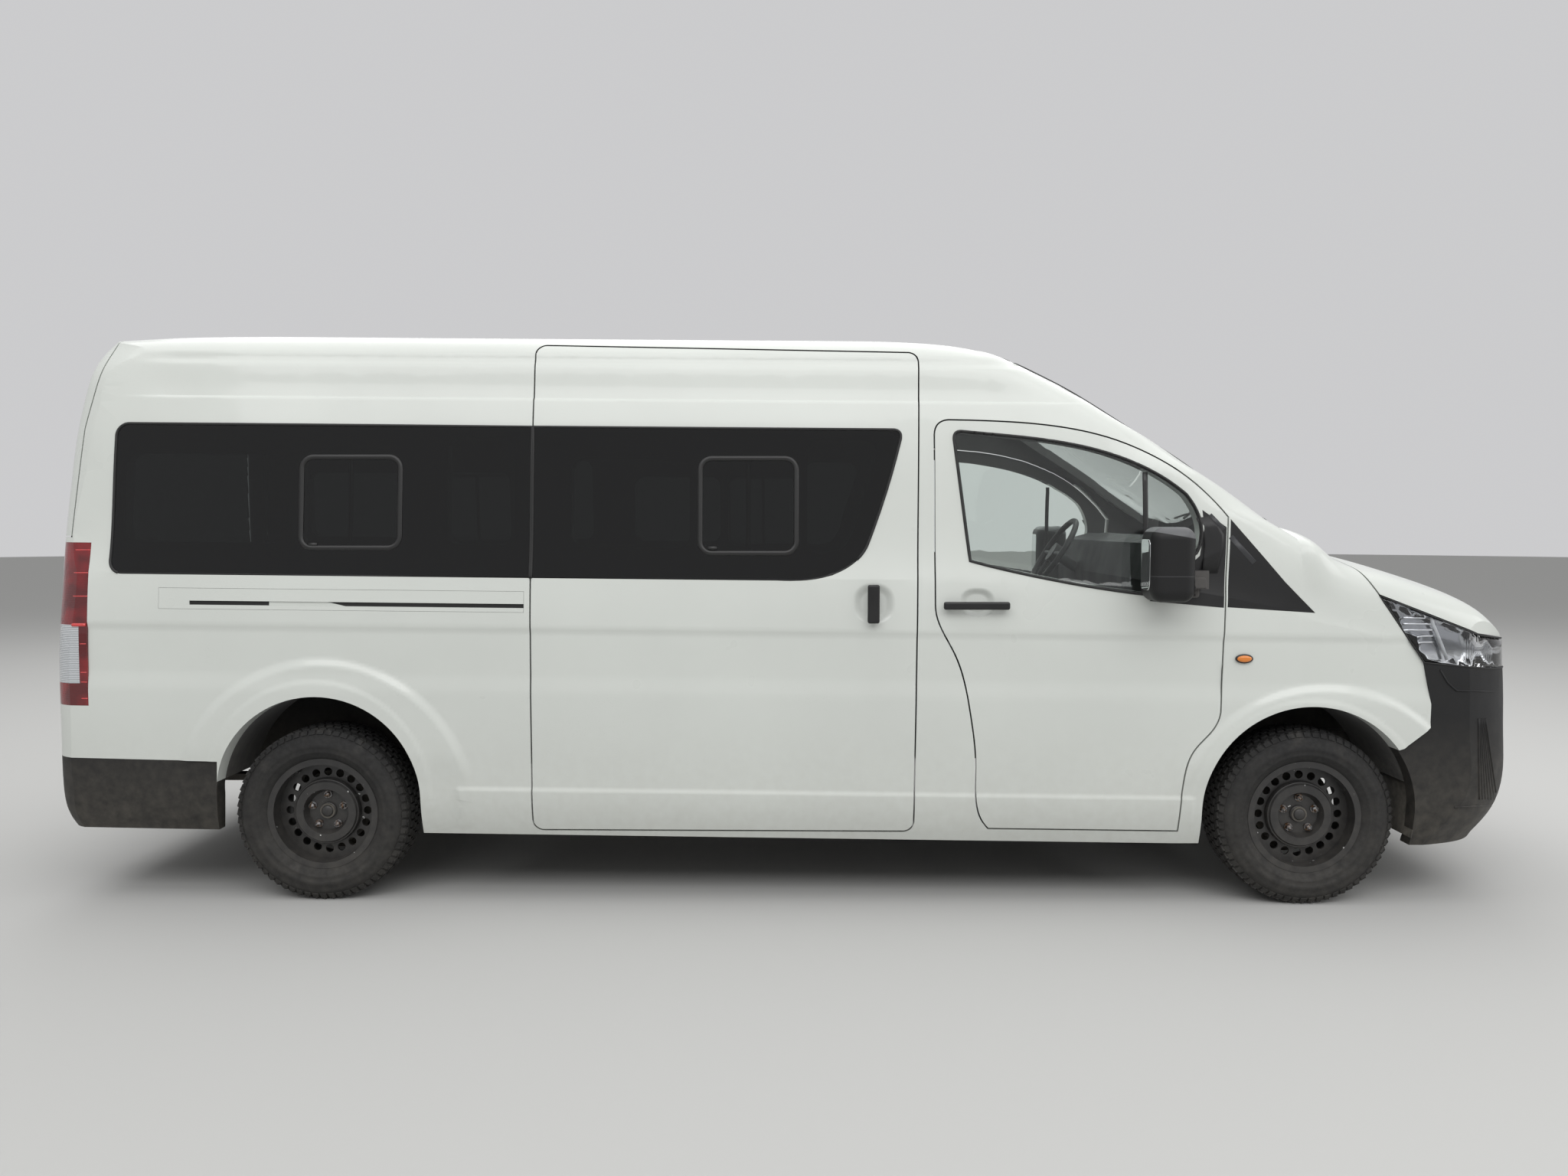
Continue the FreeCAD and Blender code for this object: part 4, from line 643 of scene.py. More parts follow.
# Glass: toughened panes 5 mm thick, set flush in black rubber. The side bands are tinted nearly
# black, the windshield and the front door panes are clear with a faint green edge.
RUBBER_BEAD = 0.0055
SEEN_FROM, SEEN_TO = 0.004, 0.30
tint = Shader("tinted_glass", (0.060, 0.068, 0.066), 0.0, Transmission_Weight=1.0, IOR=1.45)
clear = Shader("clear_glass_green", (0.90, 0.95, 0.92), 0.0, Transmission_Weight=1.0, IOR=1.45)
for shade, amount in ((tint, 0.03), (clear, 0.02)):
    shade.put("Roughness", shade.span(shade.noise(5.0, 5.0), 0.55, 0.8, 0.0, amount))
bead_rubber = Shader("window_rubber", (0.010, 0.010, 0.010), 0.55)
bead_rubber.fine(0.0002, 1300.0)


def skin_point(x, z, side, depth=0.0, tree=None):
    """The point of the body's side at x and z, moved inwards by a depth."""
    hit, normal, _, _ = (tree or shell_tree).ray_cast(Vector((x, side * 2, z)), Vector((0, -side, 0)))
    if normal.y * side < 0:
        normal = -normal
    return hit - normal * depth


def bead(name, points, radius, closed, body, slot, material, flat=1.0):
    """A round or flattened strip along some points, made from a curve."""
    path = bpy.data.curves.new(name, "CURVE")
    path.dimensions, path.bevel_depth, path.bevel_resolution = "3D", radius, 2
    path.use_fill_caps = not closed
    spline = path.splines.new("POLY")
    spline.points.add(len(points) - 1)
    for point, place in zip(spline.points, points):
        point.co = (*place, 1)
    spline.use_cyclic_u = closed
    holder = bpy.data.objects.new(name + "_path", path)
    bm = bmesh.new()
    bm.from_mesh(bpy.data.meshes.new_from_object(holder))
    bpy.data.objects.remove(holder)
    bmesh.ops.remove_doubles(bm, verts=bm.verts, dist=0.00001)
    if flat != 1.0:
        for v in bm.verts:
            nearest = min(points, key=lambda p: (p - v.co).length_squared)
            v.co = nearest + Vector(((v.co - nearest).x, (v.co - nearest).y * flat, (v.co - nearest).z))
    bmesh.ops.recalc_face_normals(bm, faces=bm.faces)
    return piece(name, bm, body, slot, material)


def seen_faces(bm, centre_line):
    """The faces of a shell piece that look out of the body and that nothing covers."""
    found = []
    for face in bm.faces:
        centre = face.calc_center_median()
        away = centre - Vector((centre_line, 0, centre.z))
        start = centre + face.normal * SEEN_FROM
        if face.normal.dot(away) > 0 and shell_tree.ray_cast(start, face.normal, SEEN_TO)[0] is None:
            found.append(face)
    return found


def outlines(node, centre_line):
    """The closed lines round a pane's outer face, each as a list of points in order."""
    bm = merged_copy(node)
    outer = set(seen_faces(bm, centre_line))
    rim = {e for e in bm.edges if len([f for f in e.link_faces if f in outer]) == 1}
    loops = []
    while rim:
        edge = rim.pop()
        first, last = edge.verts
        walk = [first, last]
        while True:
            onward = [e for e in walk[-1].link_edges if e in rim]
            if not onward:
                break
            rim.discard(onward[0])
            walk.append(onward[0].other_vert(walk[-1]))
        if len(walk) > 12:
            loops.append([v.co.copy() for v in (walk[:-1] if walk[0] is walk[-1] else walk)])
    bm.free()
    return loops


PANES = (("side_windows", 0.0, tint), ("front_door_glass_right", 0.0, clear),
         ("front_door_glass_left", 0.0, clear), ("windshield", 0.6, clear), ("back_door_glass", -2.0, tint))
for node, centre_line, shade in PANES:
    finish(node, shade)
    for number, points in enumerate(outlines(node, centre_line)):
        bead(node + "_rubber_%d" % number, points, RUBBER_BEAD, True, BODY_OF[node], "trim_black",
             bead_rubber.material)

# Sliding panes: each is one half of a tinted pane behind a raised black frame with rounded
# corners, with an upright bar where the two halves meet and a small latch.
SLIDERS = ((-1.922, -1.534, 1.396, 1.752), (-0.359, 0.016, 1.376, 1.745))
FRAME_BEAD, FRAME_CORNER, FRAME_FLAT = 0.0105, 0.045, 0.45
BAR_BEAD, BAR_DEPTH, BAR_STEPS = 0.009, 0.006, 8
LATCH_BEAD, LATCH_FROM, LATCH_LONG, LATCH_DROP = 0.008, 0.030, 0.036, 0.165
frame_black = Shader("frame_black", (0.012, 0.012, 0.012), 0.38)
frame_black.fine(0.0001, 600.0)


def rounded(x_low, x_high, z_low, z_high, corner, steps=6):
    """Points round a rectangle with rounded corners, as x and z."""
    points = []
    for x, z, start in ((x_high - corner, z_high - corner, 0), (x_low + corner, z_high - corner, 90),
                        (x_low + corner, z_low + corner, 180), (x_high - corner, z_low + corner, 270)):
        for step in range(steps + 1):
            turn = math.radians(start + 90 * step / steps)
            points.append((x + corner * math.cos(turn), z + corner * math.sin(turn)))
    return points


def framed(name, points, radius, closed, flat, body="root"):
    """A flattened strip in the window frames' black."""
    bead(name, points, radius, closed, body, "trim_black", frame_black.material, flat)


for side, hand in SIDES:
    for number, (x_low, x_high, z_low, z_high) in enumerate(SLIDERS):
        ring = [skin_point(x, z, side) for x, z in rounded(x_low, x_high, z_low, z_high, FRAME_CORNER)]
        framed("slider_frame_%s_%d" % (hand, number), ring, FRAME_BEAD, True, FRAME_FLAT)
        middle, tall = (x_low + x_high) / 2, z_high - z_low
        heights = [z_low + tall * k / BAR_STEPS for k in range(BAR_STEPS + 1)]
        bar = [skin_point(middle, z, side, BAR_DEPTH) for z in heights]
        framed("slider_bar_%s_%d" % (hand, number), bar, BAR_BEAD, False, 0.5)
        height = (z_low + z_high) / 2 - LATCH_DROP
        latch = [skin_point(x_low + LATCH_FROM + LATCH_LONG * k, height, side) for k in range(2)]
        framed("slider_latch_%s_%d" % (hand, number), latch, LATCH_BEAD, False, 0.6)

# Front door glass: a thin upright bar parts the fixed corner pane from the sliding one.
DIVIDER_X, DIVIDER_LOW, DIVIDER_HIGH, DIVIDER_STEPS = 1.367, 1.335, 1.690, 10
DIVIDER_BEAD, DIVIDER_DEPTH = 0.010, 0.003
for side, hand in SIDES:
    tall = DIVIDER_HIGH - DIVIDER_LOW
    heights = [DIVIDER_LOW + tall * k / DIVIDER_STEPS for k in range(DIVIDER_STEPS + 1)]
    bar = [skin_point(DIVIDER_X, z, side, DIVIDER_DEPTH) for z in heights]
    framed("door_glass_bar_" + hand, bar, DIVIDER_BEAD, False, 0.5, "front_door_" + hand)

# Headlamps: a clear polycarbonate cover over a bright reflector that follows it, with a black
# case behind, five bright slats at the rear end and a white light guide in front of them.
COVER_WALL, CASE_WALL, REFLECTOR_DEPTH = 0.0026, 0.0020, 0.034
lens = Shader("lamp_cover_clear", (0.95, 0.96, 0.97), 0.01, Transmission_Weight=1.0, IOR=1.49)
lens.put("Roughness", lens.span(lens.noise(30.0, 4.0), 0.5, 0.8, 0.01, 0.05))
mirror_coat = Shader("reflector_coat", (0.62, 0.63, 0.65), 0.10, Metallic=1.0)
flutes = mirror_coat.add("ShaderNodeTexWave", {"Vector": mirror_coat.place(), "Scale": 26.0},
                         bands_direction="X")
across = mirror_coat.add("ShaderNodeSeparateXYZ", {0: mirror_coat.place()})
front_part = mirror_coat.span(across.outputs["X"], 2.60, 2.62)
fluted = mirror_coat.math("MULTIPLY", flutes.outputs["Fac"], front_part)
# The reflector's upper part is painted darker, as painted shade.
painted_shade_top = mirror_coat.span(across.outputs["Z"], 0.985, 1.005)
mirror_coat.put("Base Color", mirror_coat.blend(painted_shade_top, (0.78, 0.79, 0.80), (0.40, 0.41, 0.43)))
mirror_coat.uneven(0.07, 0.16, 40.0)
mirror_coat.bump(fluted, 0.004, 0.6)
bright = Shader("bright_slat", (0.75, 0.76, 0.78), 0.12, Metallic=1.0)
bright.uneven(0.08, 0.18, 60.0)
guide_white = Shader("light_guide", (0.80, 0.82, 0.84), 0.25, Coat_Weight=0.8)
guide_white.uneven(0.18, 0.32, 90.0)
lamp_case = Shader("lamp_case", (0.012, 0.012, 0.013), 0.35)
lamp_case.fine(0.0001, 500.0)


def lamp_sheet(node, name, centre_line, cover, thick, material, slot, inset=0.0):
    """The cover of a lamp, or the case behind it, or the cover's copy set in, as a closed sheet."""
    bm = merged_copy(node)
    outer = set(seen_faces(bm, centre_line))
    bmesh.ops.delete(bm, geom=[f for f in bm.faces if (f in outer) != cover], context="FACES")
    if inset:
        bm.normal_update()
        normals = {v: v.normal.copy() for v in bm.verts}
        for v, normal in normals.items():
            v.co -= normal * inset
    made = piece(name, bm, "root", slot, material)
    wall = made.modifiers.new("wall", "SOLIDIFY")
    wall.thickness, wall.offset = thick, -1
    return made


cover = lamp_sheet("headlamps", "headlamp_covers", 1.0, True, COVER_WALL, lens.material, "lamp_clear")
lamp_sheet("headlamps", "headlamp_cases", 1.0, False, CASE_WALL, lamp_case.material, "trim_black")
lamp_sheet("headlamps", "headlamp_reflectors", 1.0, True, CASE_WALL, mirror_coat.material, "lamp_clear",
           REFLECTOR_DEPTH)
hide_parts("headlamps")
lamp_tree = tree_of("headlamps")
SLATS, SLAT_ENDS, SLAT_LOW, SLAT_HIGH = 5, (2.355, 2.475), 1.035, 1.130
SLAT_STEPS, SLAT_DEPTH, SLAT_BEAD = 7, 0.016, 0.0045
GUIDE = ((2.461, 1.131), (2.476, 1.095), (2.490, 1.060), (2.510, 1.012), (2.527, 0.968))
GUIDE_DEPTH, GUIDE_BEAD, LAMP_SEAL = 0.014, 0.0065, 0.0032


def points_on(line, tree, side, depth=0.0):
    """The points of a side's surface at some places along and up, where the surface is there."""
    return [skin_point(x, z, side, depth, tree) for x, z in line
            if tree.ray_cast(Vector((x, side * 2, z)), Vector((0, -side, 0)))[0]]


for side, hand in SIDES:
    for number in range(SLATS):
        z = SLAT_LOW + (SLAT_HIGH - SLAT_LOW) * number / (SLATS - 1)
        reach = SLAT_ENDS[1] - SLAT_ENDS[0]
        line = [(SLAT_ENDS[0] + reach * step / SLAT_STEPS, z) for step in range(SLAT_STEPS + 1)]
        line = points_on(line, lamp_tree, side, SLAT_DEPTH)
        if len(line) > 2:
            bead("headlamp_slat_%s_%d" % (hand, number), line, SLAT_BEAD, False, "root", "lamp_clear",
                 bright.material)
    line = points_on(GUIDE, lamp_tree, side, GUIDE_DEPTH)
    if len(line) > 1:
        bead("headlamp_guide_" + hand, line, GUIDE_BEAD, False, "root", "lamp_clear", guide_white.material)
for number, points in enumerate(outlines("headlamps", 1.0)):
    bead("headlamp_seal_%d" % number, points, LAMP_SEAL, True, "root", "trim_black", bead_rubber.material)

# Tail lamps: red plastic covers with bright ribs across them, and a clear reversing lamp in the
# rear half of the lower part.
RIBS = ((1.388, 0.0022), (1.299, 0.0022), (1.208, 0.0022), (1.096, 0.0070), (1.022, 0.0022), (0.910, 0.0022),
        (0.872, 0.0022), (0.807, 0.0026))
RIB_FROM, RIB_STEP, RIB_STEPS, RIB_OUT = -2.735, 0.006, 14, 0.0006
CLEAR_PART = (-2.788, 0.867, 1.096)
red = Shader("lamp_red_plastic", (0.17, 0.004, 0.006), 0.09, Coat_Weight=0.7, Coat_Roughness=0.03)
depth_mix = red.span(red.noise(9.0, 2.0), 0.4, 0.6)
red.put("Base Color", red.blend(depth_mix, (0.22, 0.005, 0.008), (0.10, 0.002, 0.004)))
prism = red.add("ShaderNodeTexWave", {"Vector": red.place(), "Scale": 60.0}, bands_direction="Z")
red.bump(prism.outputs["Fac"], 0.0015, 0.25)
red_rib = Shader("lamp_red_rib", (0.62, 0.05, 0.05), 0.12, Coat_Weight=0.6)
red_rib.uneven(0.08, 0.2, 80.0)
reversing = Shader("reversing_lamp", (0.62, 0.64, 0.66), 0.12, Coat_Weight=0.9, Coat_Roughness=0.02)
prism = reversing.add("ShaderNodeTexWave", {"Vector": reversing.place(), "Scale": 45.0}, bands_direction="Z")
reversing.put("Base Color", reversing.blend(prism.outputs["Fac"], (0.70, 0.72, 0.74), (0.30, 0.32, 0.34)))
reversing.bump(prism.outputs["Fac"], 0.003, 0.5)
bm = merged_copy("tail_lamps")
for place, normal in (((CLEAR_PART[0], 0, 0), (1, 0, 0)), ((0, 0, CLEAR_PART[1]), (0, 0, 1)),
                      ((0, 0, CLEAR_PART[2]), (0, 0, 1))):
    bmesh.ops.bisect_plane(bm, geom=[*bm.verts, *bm.edges, *bm.faces], dist=0.00001, plane_co=place,
                           plane_no=normal)
for face in bm.faces:
    centre = face.calc_center_median()
    if centre.x < CLEAR_PART[0] and CLEAR_PART[1] < centre.z < CLEAR_PART[2]:
        face.material_index = 1
tail = piece("tail_lamp_covers", bm, "root", "lamp_red", red.material, reversing.material)
tail.data.polygons.foreach_set("use_smooth", [False] * len(tail.data.polygons))
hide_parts("tail_lamps")
tail_tree = tree_of("tail_lamps")
for side, hand in SIDES:
    for number, (z, thick) in enumerate(RIBS):
        line = []
        for step in range(RIB_STEPS):
            x = RIB_FROM - RIB_STEP * step
            if z < CLEAR_PART[2] and x < CLEAR_PART[0]:
                break
            hit = tail_tree.ray_cast(Vector((x, side * 2, z)), Vector((0, -side, 0)))[0]
            if hit:
                line.append(hit + Vector((0, -side * RIB_OUT, 0)))
        if len(line) > 2:
            bead("tail_lamp_rib_%s_%d" % (hand, number), line, thick, False, "root", "lamp_red",
                 red_rib.material)

# Side repeater: a small amber lamp in an oval base on each front wing.
REPEATER = (1.739, 0.972)
DOME = ((1.0, -0.4), (1.0, 0.2), (0.93, 0.55), (0.72, 0.85), (0.38, 0.97), (0.0001, 1.0))
amber = Shader("amber_lens", (0.75, 0.22, 0.02), 0.1, Coat_Weight=0.6)
ridge = amber.add("ShaderNodeTexWave", {"Vector": amber.place(), "Scale": 120.0}, bands_direction="X")
amber.bump(ridge.outputs["Fac"], 0.001, 0.5)
REPEATER_PARTS = (("base", (0.034, 0.005, 0.018), frame_black, "trim_black"),
                  ("lens", (0.029, 0.010, 0.0135), amber, "lamp_red"))
for side, hand in SIDES:
    spot = Matrix.Translation(skin_point(*REPEATER, side))
    for part, size, shade, slot in REPEATER_PARTS:
        bm = bmesh.new()
        lathe(bm, [(radius, side * along) for radius, along in DOME], 32, (0, 0, 0))
        bmesh.ops.holes_fill(bm, edges=[e for e in bm.edges if e.is_boundary])
        bmesh.ops.transform(bm, matrix=spot @ Matrix.Diagonal((*size, 1)), verts=bm.verts)
        bmesh.ops.recalc_face_normals(bm, faces=bm.faces)
        piece("repeater_%s_%s" % (part, hand), bm, "root", slot, shade.material)

# Black trim: bumpers, cowl and its corner plates are moulded in grained black plastic, a little
# duller and dustier low down. The grille, handles and the doors' corner plates are smoother.
grained = Shader("grained_plastic", (0.0115, 0.0115, 0.0120), 0.56, Specular_IOR_Level=0.32)
grain = grained.add("ShaderNodeTexVoronoi", {"Vector": grained.place(), "Scale": 620.0})
grained.uneven(0.50, 0.66, 7.0, 4.0)
grained.bump(grain.outputs["Distance"], 0.0004, 0.5)
film = grained.dusty(0.34)
grained.put("Base Color", grained.blend(film, (0.0115, 0.0115, 0.0120), DUST_COLOUR))
satin = Shader("satin_plastic", (0.0135, 0.0135, 0.0140), 0.36, Specular_IOR_Level=0.40)
satin.uneven(0.31, 0.46, 12.0, 4.0)
satin.fine(0.0001, 1400.0, 2.0)
felt = Shader("liner_felt", (0.012, 0.012, 0.012), 0.95, Sheen_Weight=0.15)
felt.fine(0.0008, 420.0, 4.0, 0.7)
mud = felt.dusty(0.8)
felt.put("Base Color", felt.blend(mud, (0.012, 0.012, 0.012), DUST_COLOUR))
grey_cap = Shader("grey_cap", (0.095, 0.098, 0.102), 0.42)
grey_cap.uneven(0.36, 0.52, 14.0, 4.0)
grey_cap.fine(0.0001, 900.0, 2.0)
silvered = Shader("silvered_glass", (0.70, 0.72, 0.72), 0.02, Metallic=1.0)
silvered.put("Roughness", silvered.span(silvered.noise(5.0, 5.0), 0.5, 0.8, 0.015, 0.06))
blank = Shader("blank_plate", (0.62, 0.62, 0.60), 0.40, Coat_Weight=0.3)
blank.uneven(0.34, 0.52, 25.0, 4.0)
stain = blank.dusty(0.35)
blank.put("Base Color", blank.blend(stain, (0.62, 0.62, 0.60), DUST_COLOUR))


def laid(name, tree, centre, along, up, size, thick, body, slot, material, corner=10, cells=14, lift=0.0004):
    """A thin sheet with rounded corners that lies on a surface and follows it, inside the CAD box."""
    along, up = Vector(along).normalized(), Vector(up).normalized()
    away = along.cross(up)
    bm = bmesh.new()
    rows = []
    for i in range(cells + 1):
        row = []
        for j in range(cells + 1):
            u, v = -1 + 2 * i / cells, -1 + 2 * j / cells
            pull = 1 - 0.10 * (abs(u) * abs(v)) ** corner
            place = Vector(centre) + along * (u * pull * size[0] / 2) + up * (v * pull * size[1] / 2)
            hit = tree.ray_cast(place + away * 0.5, -away)[0]
            if hit is None:
                bm.free()
                raise ValueError(name + " misses its surface")
            spot = hit + away * (lift + thick)
            row.append(bm.verts.new((max(spot.x, cad_box[0].x + 0.0001), spot.y, spot.z)))
        rows.append(row)
    top = [bm.faces.new((rows[i][j], rows[i + 1][j], rows[i + 1][j + 1], rows[i][j + 1]))
           for i in range(cells) for j in range(cells)]
    made = bmesh.ops.extrude_face_region(bm, geom=top)
    for v in [g for g in made["geom"] if isinstance(g, bmesh.types.BMVert)]:
        v.co -= away * thick
    bmesh.ops.recalc_face_normals(bm, faces=bm.faces)
    rim = [e for e in bm.edges if len(e.link_faces) == 2 and e.calc_face_angle() > 0.8]
    bmesh.ops.bevel(bm, geom=rim, offset=min(thick * 0.3, 0.002), segments=2, affect="EDGES",
                    profile=0.5, material=-1)
    return piece(name, bm, body, slot, material)


def seen_points(line, tree, side=-1):
    """The points of a surface that the camera sees behind places on the plane of the right side."""
    eye = Vector(CAMERA_PLACE)
    hits = [tree.ray_cast(eye, Vector((x, PLANE_Y, z)) - eye)[0] for x, z in line]
    return [Vector((hit.x, hit.y if side < 0 else -hit.y, hit.z)) for hit in hits if hit]


def recoloured(node, body, slot, chosen, *materials):
    """A door's fittings in place of their node, each face in the material that chosen gives for it."""
    bm = merged_copy(node)
    kept = bm.loops.layers.float_vector["kept"]
    bmesh.ops.bisect_plane(bm, geom=[*bm.verts, *bm.edges, *bm.faces], dist=0.00001, plane_co=CAP_PLACE,
                           plane_no=CAP_SLOPE)
    for face in bm.faces:
        face.material_index = chosen(face.calc_center_median())
    normals = [corner[kept].normalized() for face in bm.faces for corner in face.loops]
    bm.loops.layers.float_vector.remove(kept)
    made = piece(node + "_finish", bm, body, slot, *materials)
    made.data.normals_split_custom_set(normals)
    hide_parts(node)


# Door mirrors: a black case on an arm of bare cast metal, because the cover of the arm's bracket
# is missing, with a grey cap over the case's top and a silvered glass that faces the rear.
PLANE_Y = -0.970
MIRROR_MIDDLE = (1.412, 1.068, 1.338)
CAP_PLACE, CAP_SLOPE = (1.330, 0, 1.462), (0.17, 0, 1)
MIRROR_FROM, ARM_FROM, ARM_END = (1.30, 0.972), 1.43, 1.04
ARM_CUT, CASE_SEAM = 1.300, 1.296
GLASS_SIZE, GLASS_THICK = (0.116, 0.190), 0.003
bare_cast = Shader("bare_cast_metal", (0.105, 0.100, 0.096), 0.55, Metallic=0.6)
bare_cast.uneven(0.45, 0.70, 40.0, 4.0)
bare_cast.fine(0.0004, 380.0, 3.0)
case_black = Shader("mirror_case", (0.0095, 0.0095, 0.0100), 0.50, Specular_IOR_Level=0.32)
height = case_black.add("ShaderNodeSeparateXYZ", {0: case_black.place()}).outputs["Z"]
off_seam = case_black.math("ABSOLUTE", case_black.math("SUBTRACT", height, CASE_SEAM), 0.0)
# A lighter line along the case's seam is a painted highlight.
seam_highlight = case_black.span(off_seam, 0.0008, 0.0016, 1.0, 0.0)
case_black.put("Base Color", case_black.blend(seam_highlight, (0.0095, 0.0095, 0.0100), (0.055, 0.055, 0.058)))
case_black.fine(0.0002, 750.0, 3.0)


def fitting_kind(centre):
    """Which material a face of the door's fittings has: case, cap, bare metal or satin black."""
    away = abs(centre.y)
    if away > MIRROR_FROM[1] and centre.x > MIRROR_FROM[0]:
        if (centre - Vector(CAP_PLACE)).dot(Vector(CAP_SLOPE)) > 0:
            return 1
        return 2 if centre.x > ARM_FROM and centre.z < ARM_CUT and away < ARM_END else 0
    return 3


REARWARD, UPWARD = (0, -1, 0), (0, 0, 1)
for side, hand in SIDES:
    body = "front_door_" + hand
    recoloured("door_fittings_" + hand, body, "trim_black", fitting_kind, case_black.material,
               grey_cap.material, bare_cast.material, satin.material)
    x, y, z = MIRROR_MIDDLE
    laid("mirror_glass_" + hand, tree_of("door_fittings_" + hand), (x, side * y, z), REARWARD, UPWARD,
         GLASS_SIZE, GLASS_THICK, body, "trim_black", silvered.material, 6)

# The bare bracket on the right, where its cover is missing: a cast plate with three dark holes.
BRACKET, BRACKET_SIZE, BRACKET_THICK = (1.528, -1.0, 1.247), (0.078, 0.082), 0.003
HOLES = ((1.519, 1.250, 0.0075), (1.516, 1.218, 0.0040), (1.548, 1.216, 0.0040))
HOLE_OUT, HOLE_STEPS = 0.004, 12
tree = tree_of("door_fittings_right")
laid("mirror_bracket_right", tree, BRACKET, (1, 0, 0), UPWARD, BRACKET_SIZE, BRACKET_THICK,
     "front_door_right", "bare_steel", bare_cast.material, 6)
for number, (x, z, radius) in enumerate(HOLES):
    spot = skin_point(x, z, -1, -HOLE_OUT, tree)
    ring = []
    for step in range(HOLE_STEPS):
        turn = 2 * math.pi * step / HOLE_STEPS
        ring.append(spot + Vector((math.cos(turn), 0, math.sin(turn))) * radius / 2)
    bead("mirror_bracket_hole_%d" % number, ring, radius / 2, True, "front_door_right", "trim_black",
         satin.material, 0.15)

# Slim satin strips along the top edges of the corner plates, one on the door and one on the cowl.
STRIPS = (("front_door_", "door_fittings_", ((1.612, 1.523), (1.640, 1.493), (1.664, 1.466))),
          ("root", "cowl_and_plates", ((1.692, 1.440), (1.735, 1.391), (1.780, 1.340))))
STRIP_SIZE = 0.011
# The strips' lighter grey is a painted highlight of the plates' bevelled top edges.
edge_highlight_grey = Shader("edge_highlight_grey", (0.030, 0.031, 0.034), 0.38)
edge_highlight_grey.uneven(0.33, 0.46, 20.0)
edge_highlight_grey.fine(0.0001, 900.0)
for side, hand in SIDES:
    for body, node, line in STRIPS:
        points = points_on(line, tree_of(node + hand if node.endswith("_") else node), side)
        if len(points) > 1:
            bead("corner_strip_%s_%s" % (node.strip("_"), hand), points, STRIP_SIZE, False,
                 body + hand if body.endswith("_") else body, "trim_black", edge_highlight_grey.material, 0.12)

# Front bumper: a step line under the lamps, a ledge near the bottom, and at each corner a recess
# with fine upright ribs between two raised edges.
RIB_TOP, RIB_FOOT = (2.642, 2.668, 0.742), (2.655, 2.722, 0.428)
RIB_COUNT, RIB_RUNS, RIB_SIZE, EDGE_SIZE = 7, 11, 0.0022, 0.0040
bumper_tree = tree_of("front_bumper")
LINES = (("step", ((2.490, 0.930), (2.520, 0.880), (2.554, 0.850), (2.600, 0.849), (2.650, 0.848),
                   (2.695, 0.847))),
         ("ledge", ((2.560, 0.396), (2.600, 0.398), (2.650, 0.402), (2.695, 0.406), (2.722, 0.410))))
for side, hand in SIDES:
    for name, line in LINES:
        bead("bumper_%s_%s" % (name, hand), seen_points(line, bumper_tree, side), EDGE_SIZE, False, "root",
             "trim_black", grained.material)
    for number in range(RIB_COUNT):
        share = number / (RIB_COUNT - 1)
        line = []
        for step in range(RIB_RUNS + 1):
            drop = step / RIB_RUNS
            x = (RIB_TOP[0] + (RIB_TOP[1] - RIB_TOP[0]) * share) * (1 - drop)
            x += (RIB_FOOT[0] + (RIB_FOOT[1] - RIB_FOOT[0]) * share) * drop
            line.append((x, RIB_TOP[2] + (RIB_FOOT[2] - RIB_TOP[2]) * drop))
        outer = number in (0, RIB_COUNT - 1)
        bead("bumper_rib_%s_%d" % (hand, number), seen_points(line, bumper_tree, side),
             EDGE_SIZE if outer else RIB_SIZE, False, "root", "trim_black", grained.material)

# The front arch liners go down in front of the tyres to the bumper's lower edge.
FLAP_LINE = ((2.4175, 0.500), (2.424, 0.420), (2.424, 0.345), (2.410, 0.268))
FLAP_INNER, FLAP_OUTER, FLAP_THICK = 0.560, 0.945, 0.003
for side, hand in SIDES:
    bm = bmesh.new()
    rows = [[bm.verts.new((x, side * y, z)) for y in (FLAP_INNER, FLAP_OUTER)] for x, z in FLAP_LINE]
    for a, b in zip(rows, rows[1:]):
        bm.faces.new((a[0], a[1], b[1], b[0]))
    made = piece("arch_flap_" + hand, bm, "root", "trim_black", felt.material)
    wall = made.modifiers.new("wall", "SOLIDIFY")
    wall.thickness, wall.offset = FLAP_THICK, 0

# Brake backing plates: thin pressed discs behind the wheels, in dull black.
SHIELD_FACE, SHIELD_BORE = 0.745, 0.030
SHIELD_SECTION = ((SHIELD_BORE, 0.0), (0.176, 0.0), (0.180, 0.002), (0.180, 0.007), (0.176, 0.003),
                  (SHIELD_BORE, 0.003), (SHIELD_BORE, 0.0))
for side, hand in SIDES:
    for end, x in AXLES.items():
        bm = bmesh.new()
        section = [(radius, side * (SHIELD_FACE + along)) for radius, along in SHIELD_SECTION]
        lathe(bm, section, 48, (x, 0, AXLE_HEIGHT))
        bmesh.ops.recalc_face_normals(bm, faces=bm.faces)
        body = "knuckle_" + hand if end == "front" else "root"
        piece("brake_plate_%s_%s" % (end, hand), bm, body, "chassis", felt.material)

